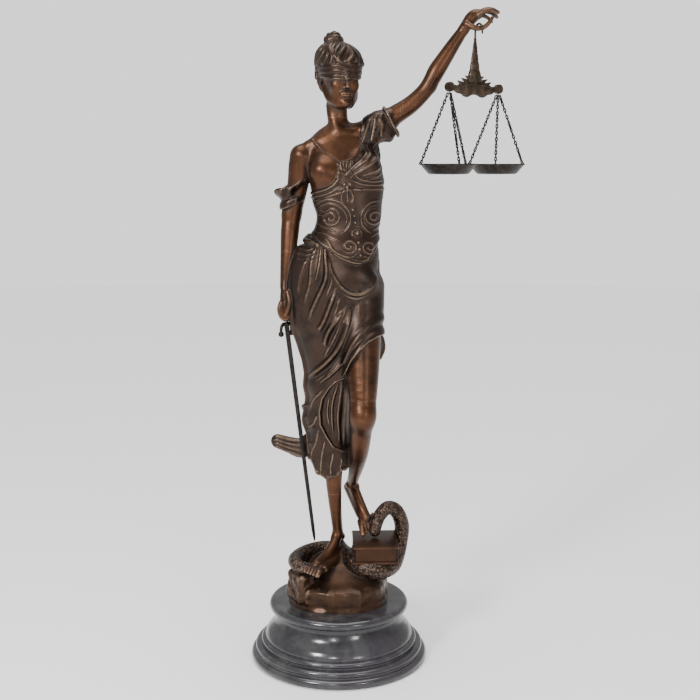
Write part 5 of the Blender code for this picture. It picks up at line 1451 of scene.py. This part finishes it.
def sword(made):
    """A straight blade with a ridge, and a guard whose arms turn down into balls."""
    down = (SWORD_TIP - GUARD_TOP).normalized()
    length = (SWORD_TIP - GUARD_TOP).length
    bm = bmesh.new()
    rings = []
    for along, wide, thick in ((0.002, 3.4, 1.8), (0.006, 3.9, 1.7), (0.05, 3.8, 1.6), (0.18, 3.5, 1.5),
                               (0.30, 3.2, 1.3),
                               (length - 0.022, 3.0, 1.2), (length - 0.008, 2.2, 1.0),
                               (length - 0.001, 0.8, 0.5)):
        corners = ((wide, 0), (wide * 0.35, thick), (0, thick * 1.15), (-wide * 0.35, thick), (-wide, 0),
                   (-wide * 0.35, -thick), (0, -thick * 1.15), (wide * 0.35, -thick))
        rings.append([bm.verts.new((x / 1000, y / 1000, -along)) for x, y in corners])
    bridged(bm, rings)
    across = Vector((1, -0.25, 0)).normalized()
    up = -down
    across = (across - up * across.dot(up)).normalized()
    turn = Matrix((across, up.cross(across), up)).transposed().to_4x4()
    bmesh.ops.transform(bm, matrix=Matrix.Translation(GUARD_TOP) @ turn, verts=bm.verts)
    heading = Vector((math.cos(math.radians(52)), math.sin(math.radians(52)), 0))
    swept(bm, [(*(GUARD_TOP + Vector((0, 0, dz))), r) for dz, r in
               ((-0.0003, 0.0050), (-0.0010, 0.0066), (-0.0026, 0.0068), (-0.0036, 0.0056),
                (-0.0044, 0.0046))], 24)
    for sign in (-1, 1):
        rows = [(0.001, -0.0022, 0.0030), (0.005, -0.0020, 0.0029), (0.0088, -0.0034, 0.0027),
                (0.0112, -0.0064, 0.0025),
                (0.0120, -0.0100, 0.0024), (0.0120, -0.0138, 0.0023)]
        swept(bm, [(*(GUARD_TOP + sign * a * heading + Vector((0, 0, dz))), r) for a, dz, r in rows], 14)
        ball(bm, GUARD_TOP + sign * 0.012 * heading - Vector((0, 0, 0.017)), 0.0044, 3)
    return show("sword_blade_and_guard", mesh_of("sword", bm), made, "sword", 35)


def book(made):
    """The closed book under the foot: two boards that stand past a block of thin leaves."""
    centre = Vector((0.057, -0.013, 0.1805))
    turn = Euler([math.radians(a) for a in (5, 0, 2)]).to_matrix().to_4x4()
    bm = bmesh.new()

    def slab(x, y, z, wide, deep, tall, edge):
        size = Matrix.Translation((x, y, z)) @ Matrix.Diagonal((wide, deep, tall, 1))
        made_now = bmesh.ops.create_cube(bm, size=1.0, matrix=size)
        edges = list({e for v in made_now["verts"] for e in v.link_edges})
        bmesh.ops.bevel(bm, geom=edges, offset=edge, segments=2, affect="EDGES", profile=0.6)

    slab(0, 0, 0.0125, 0.070, 0.068, 0.0042, 0.0012)
    slab(0, 0, -0.0125, 0.070, 0.068, 0.0042, 0.0012)
    slab(0.0005, 0.0315, 0, 0.069, 0.005, 0.027, 0.0018)
    for i in range(14):
        drift = 0.0007 * math.sin(2.7 * i)
        slab(drift, -0.001, -0.0098 + 0.00151 * i, 0.063 + 0.0008 * math.sin(5.1 * i), 0.062, 0.00135, 0.0003)
    bmesh.ops.transform(bm, matrix=Matrix.Translation(centre) @ turn, verts=bm.verts)
    mesh = mesh_of("book", bm)
    write_values(mesh, "cloth", np.full(len(mesh.vertices), 0.4))
    # A faint painted-shade value for the book, too low to darken it
    write_values(mesh, "hollow", np.full(len(mesh.vertices), 0.08))
    return show("closed_book", mesh, made, "figure", 35)


def make_stage(settings):
    """A pale floor, soft lights from the front left, and the camera."""
    scene = bpy.context.scene
    bm = bmesh.new()
    bmesh.ops.create_circle(bm, cap_ends=True, segments=96, radius=6.0)
    floor_mesh = bpy.data.meshes.new("floor")
    bm.to_mesh(floor_mesh)
    bm.free()
    floor = bpy.data.objects.new("floor", floor_mesh)
    floor.location.z = -0.0006
    scene.collection.objects.link(floor)
    paint = Paint("pale_floor")
    paint.set(Base_Color=(0.86, 0.86, 0.86, 1), Roughness=0.6)
    floor_mesh.materials.append(paint.material)
    world = bpy.data.worlds.new("studio")
    scene.world = world
    world.use_nodes = True
    tree = world.node_tree
    light = tree.nodes["Background"]
    light.inputs["Color"].default_value = (1, 1, 1, 1)
    light.inputs["Strength"].default_value = settings.sky
    seen = tree.nodes.new("ShaderNodeBackground")
    seen.inputs["Color"].default_value = (1, 1, 1, 1)
    seen.inputs["Strength"].default_value = settings.backdrop
    choice = tree.nodes.new("ShaderNodeMixShader")
    tree.links.new(tree.nodes.new("ShaderNodeLightPath").outputs["Is Camera Ray"], choice.inputs[0])
    tree.links.new(light.outputs[0], choice.inputs[1])
    tree.links.new(seen.outputs[0], choice.inputs[2])
    tree.links.new(choice.outputs[0], tree.nodes["World Output"].inputs["Surface"])
    middle = Vector((0.02, 0, 0.5))
    for name, place, share, size in (("key", (-1.3, -1.8, 1.7), 1.0, 0.5),
                                     ("fill", (1.1, -1.9, 0.9), 0.18, 0.4),
                                     ("front", (-0.3, -2.0, 1.1), 0.14, 0.25)):
        data = bpy.data.lights.new(name, "AREA")
        data.shape = "DISK"
        data.size = size
        data.energy = settings.key * share
        lamp = bpy.data.objects.new(name, data)
        lamp.location = place
        lamp.rotation_euler = (middle - Vector(place)).to_track_quat("-Z", "Y").to_euler()
        scene.collection.objects.link(lamp)
    data = bpy.data.lights.new("overhead", "SUN")
    data.energy = settings.overhead
    data.angle = math.radians(50)
    lamp = bpy.data.objects.new("overhead", data)
    scene.collection.objects.link(lamp)
    data = bpy.data.cameras.new("camera")
    data.lens = settings.lens
    data.sensor_width = 36
    camera = bpy.data.objects.new("camera", data)
    camera.location = (0.018, -1.73, 0.77)
    camera.rotation_euler = (math.radians(90) - settings.look_down, 0, 0)
    scene.collection.objects.link(camera)
    scene.camera = camera


PAINTS = {}


def painted(name):
    """The material of that name, made the first time that it is asked for."""
    if name not in PAINTS:
        makers = {
            "bronze": bronze,
            "beam_bronze": lambda: plain_metal("dull_bronze", (0.030, 0.020, 0.013), (0.085, 0.056, 0.036),
                                               0.42, 0.75),
            "iron": lambda: plain_metal("dark_iron", (0.010, 0.008, 0.007), (0.036, 0.029, 0.024), 0.40, 0.8,
                                        400),
            "steel": lambda: plain_metal("sword_bronze", (0.008, 0.006, 0.005), (0.028, 0.022, 0.018), 0.38,
                                         0.75, 400),
            "marble": marble,
        }
        PAINTS[name] = makers[name]()
    return PAINTS[name]


class StatueSettings(bpy.types.PropertyGroup):
    """What a user can change."""

    triangles: bpy.props.IntProperty(name="Triangles",
                                     description="Most triangles in each zone of the figure",
                                     default=160000, min=20000, max=199000)
    sky: bpy.props.FloatProperty(name="Sky light", description="Strength of the soft light from all sides",
                                 default=0.6, min=0)
    backdrop: bpy.props.FloatProperty(name="Backdrop", description="Brightness of the plain backdrop",
                                      default=1.4, min=0)
    overhead: bpy.props.FloatProperty(name="Overhead light", description="Strength of the light from above",
                                      default=3.2,
                                      min=0)
    key: bpy.props.FloatProperty(name="Key light", description="Power of the main light in watts",
                                 default=55.0,
                                 min=0, unit="POWER")
    lens: bpy.props.FloatProperty(name="Lens", description="Focal length", default=58.4, min=10,
                                  unit="CAMERA")
    look_down: bpy.props.FloatProperty(name="Look down", description="How far the camera looks down",
                                       default=math.radians(9.1), subtype="ANGLE")


def settings_of(context):
    return context.scene.statue


class StatueStep:
    """What every step's operator shares."""

    bl_options = {"REGISTER"}

    def execute(self, context):
        self.build(settings_of(context))
        return {"FINISHED"}


class STATUE_OT_plinth(StatueStep, bpy.types.Operator):
    """Turn the polished marble plinth"""

    bl_idname = "statue.plinth"
    bl_label = "Marble plinth"

    def build(self, settings):
        piece = show("turned_plinth", mesh_of("plinth", lathe(plinth_profile(), 160)), painted("marble"),
                     "marble_plinth", 38)


class STATUE_OT_figure(StatueStep, bpy.types.Operator):
    """Sculpt the bronze figure, its dress, the ground, the snake and the book"""

    bl_idname = "statue.figure"
    bl_label = "Bronze figure"

    def build(self, settings):
        for name in ZONES:
            sculpt(name, painted("bronze"), settings.triangles)
        book(painted("bronze"))


class STATUE_OT_sword(StatueStep, bpy.types.Operator):
    """Forge the sword's blade and guard"""

    bl_idname = "statue.sword"
    bl_label = "Sword"

    def build(self, settings):
        sword(painted("steel"))


class STATUE_OT_scales(StatueStep, bpy.types.Operator):
    """Make the scales' beam, chains and pans"""

    bl_idname = "statue.scales"
    bl_label = "Scales"

    def build(self, settings):
        beam(painted("beam_bronze"))
        for name in CHAIN_ANGLES:
            pan(name, painted("iron"))
            for number in (1, 2, 3):
                chain(name, number, painted("iron"))


class STATUE_OT_stage(StatueStep, bpy.types.Operator):
    """Set the floor, lights and camera"""

    bl_idname = "statue.stage"
    bl_label = "Stage"

    def build(self, settings):
        make_stage(settings)


class STATUE_PT_panel(bpy.types.Panel):
    """Sidebar panel with the settings and the steps"""

    bl_label = "Statue"
    bl_idname = "STATUE_PT_panel"
    bl_space_type = "VIEW_3D"
    bl_region_type = "UI"
    bl_category = "Statue"

    def draw(self, context):
        column = self.layout.column()
        for name in ("triangles", "sky", "backdrop", "overhead", "key", "lens", "look_down"):
            column.prop(context.scene.statue, name)
        for step_class in STEPS:
            column.operator(step_class.bl_idname)


STEPS = (STATUE_OT_plinth, STATUE_OT_figure, STATUE_OT_sword, STATUE_OT_scales, STATUE_OT_stage)
CLASSES = (StatueSettings, *STEPS, STATUE_PT_panel)


def register():
    for item in CLASSES:
        bpy.utils.register_class(item)
    bpy.types.Scene.statue = bpy.props.PointerProperty(type=StatueSettings)


def unregister():
    del bpy.types.Scene.statue
    for item in reversed(CLASSES):
        bpy.utils.unregister_class(item)


def main():
    register()
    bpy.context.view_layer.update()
    bpy.ops.statue.plinth()
    bpy.ops.statue.figure()
    bpy.ops.statue.sword()
    bpy.ops.statue.scales()
    bpy.ops.statue.stage()


if __name__ == "__main__":
    main()
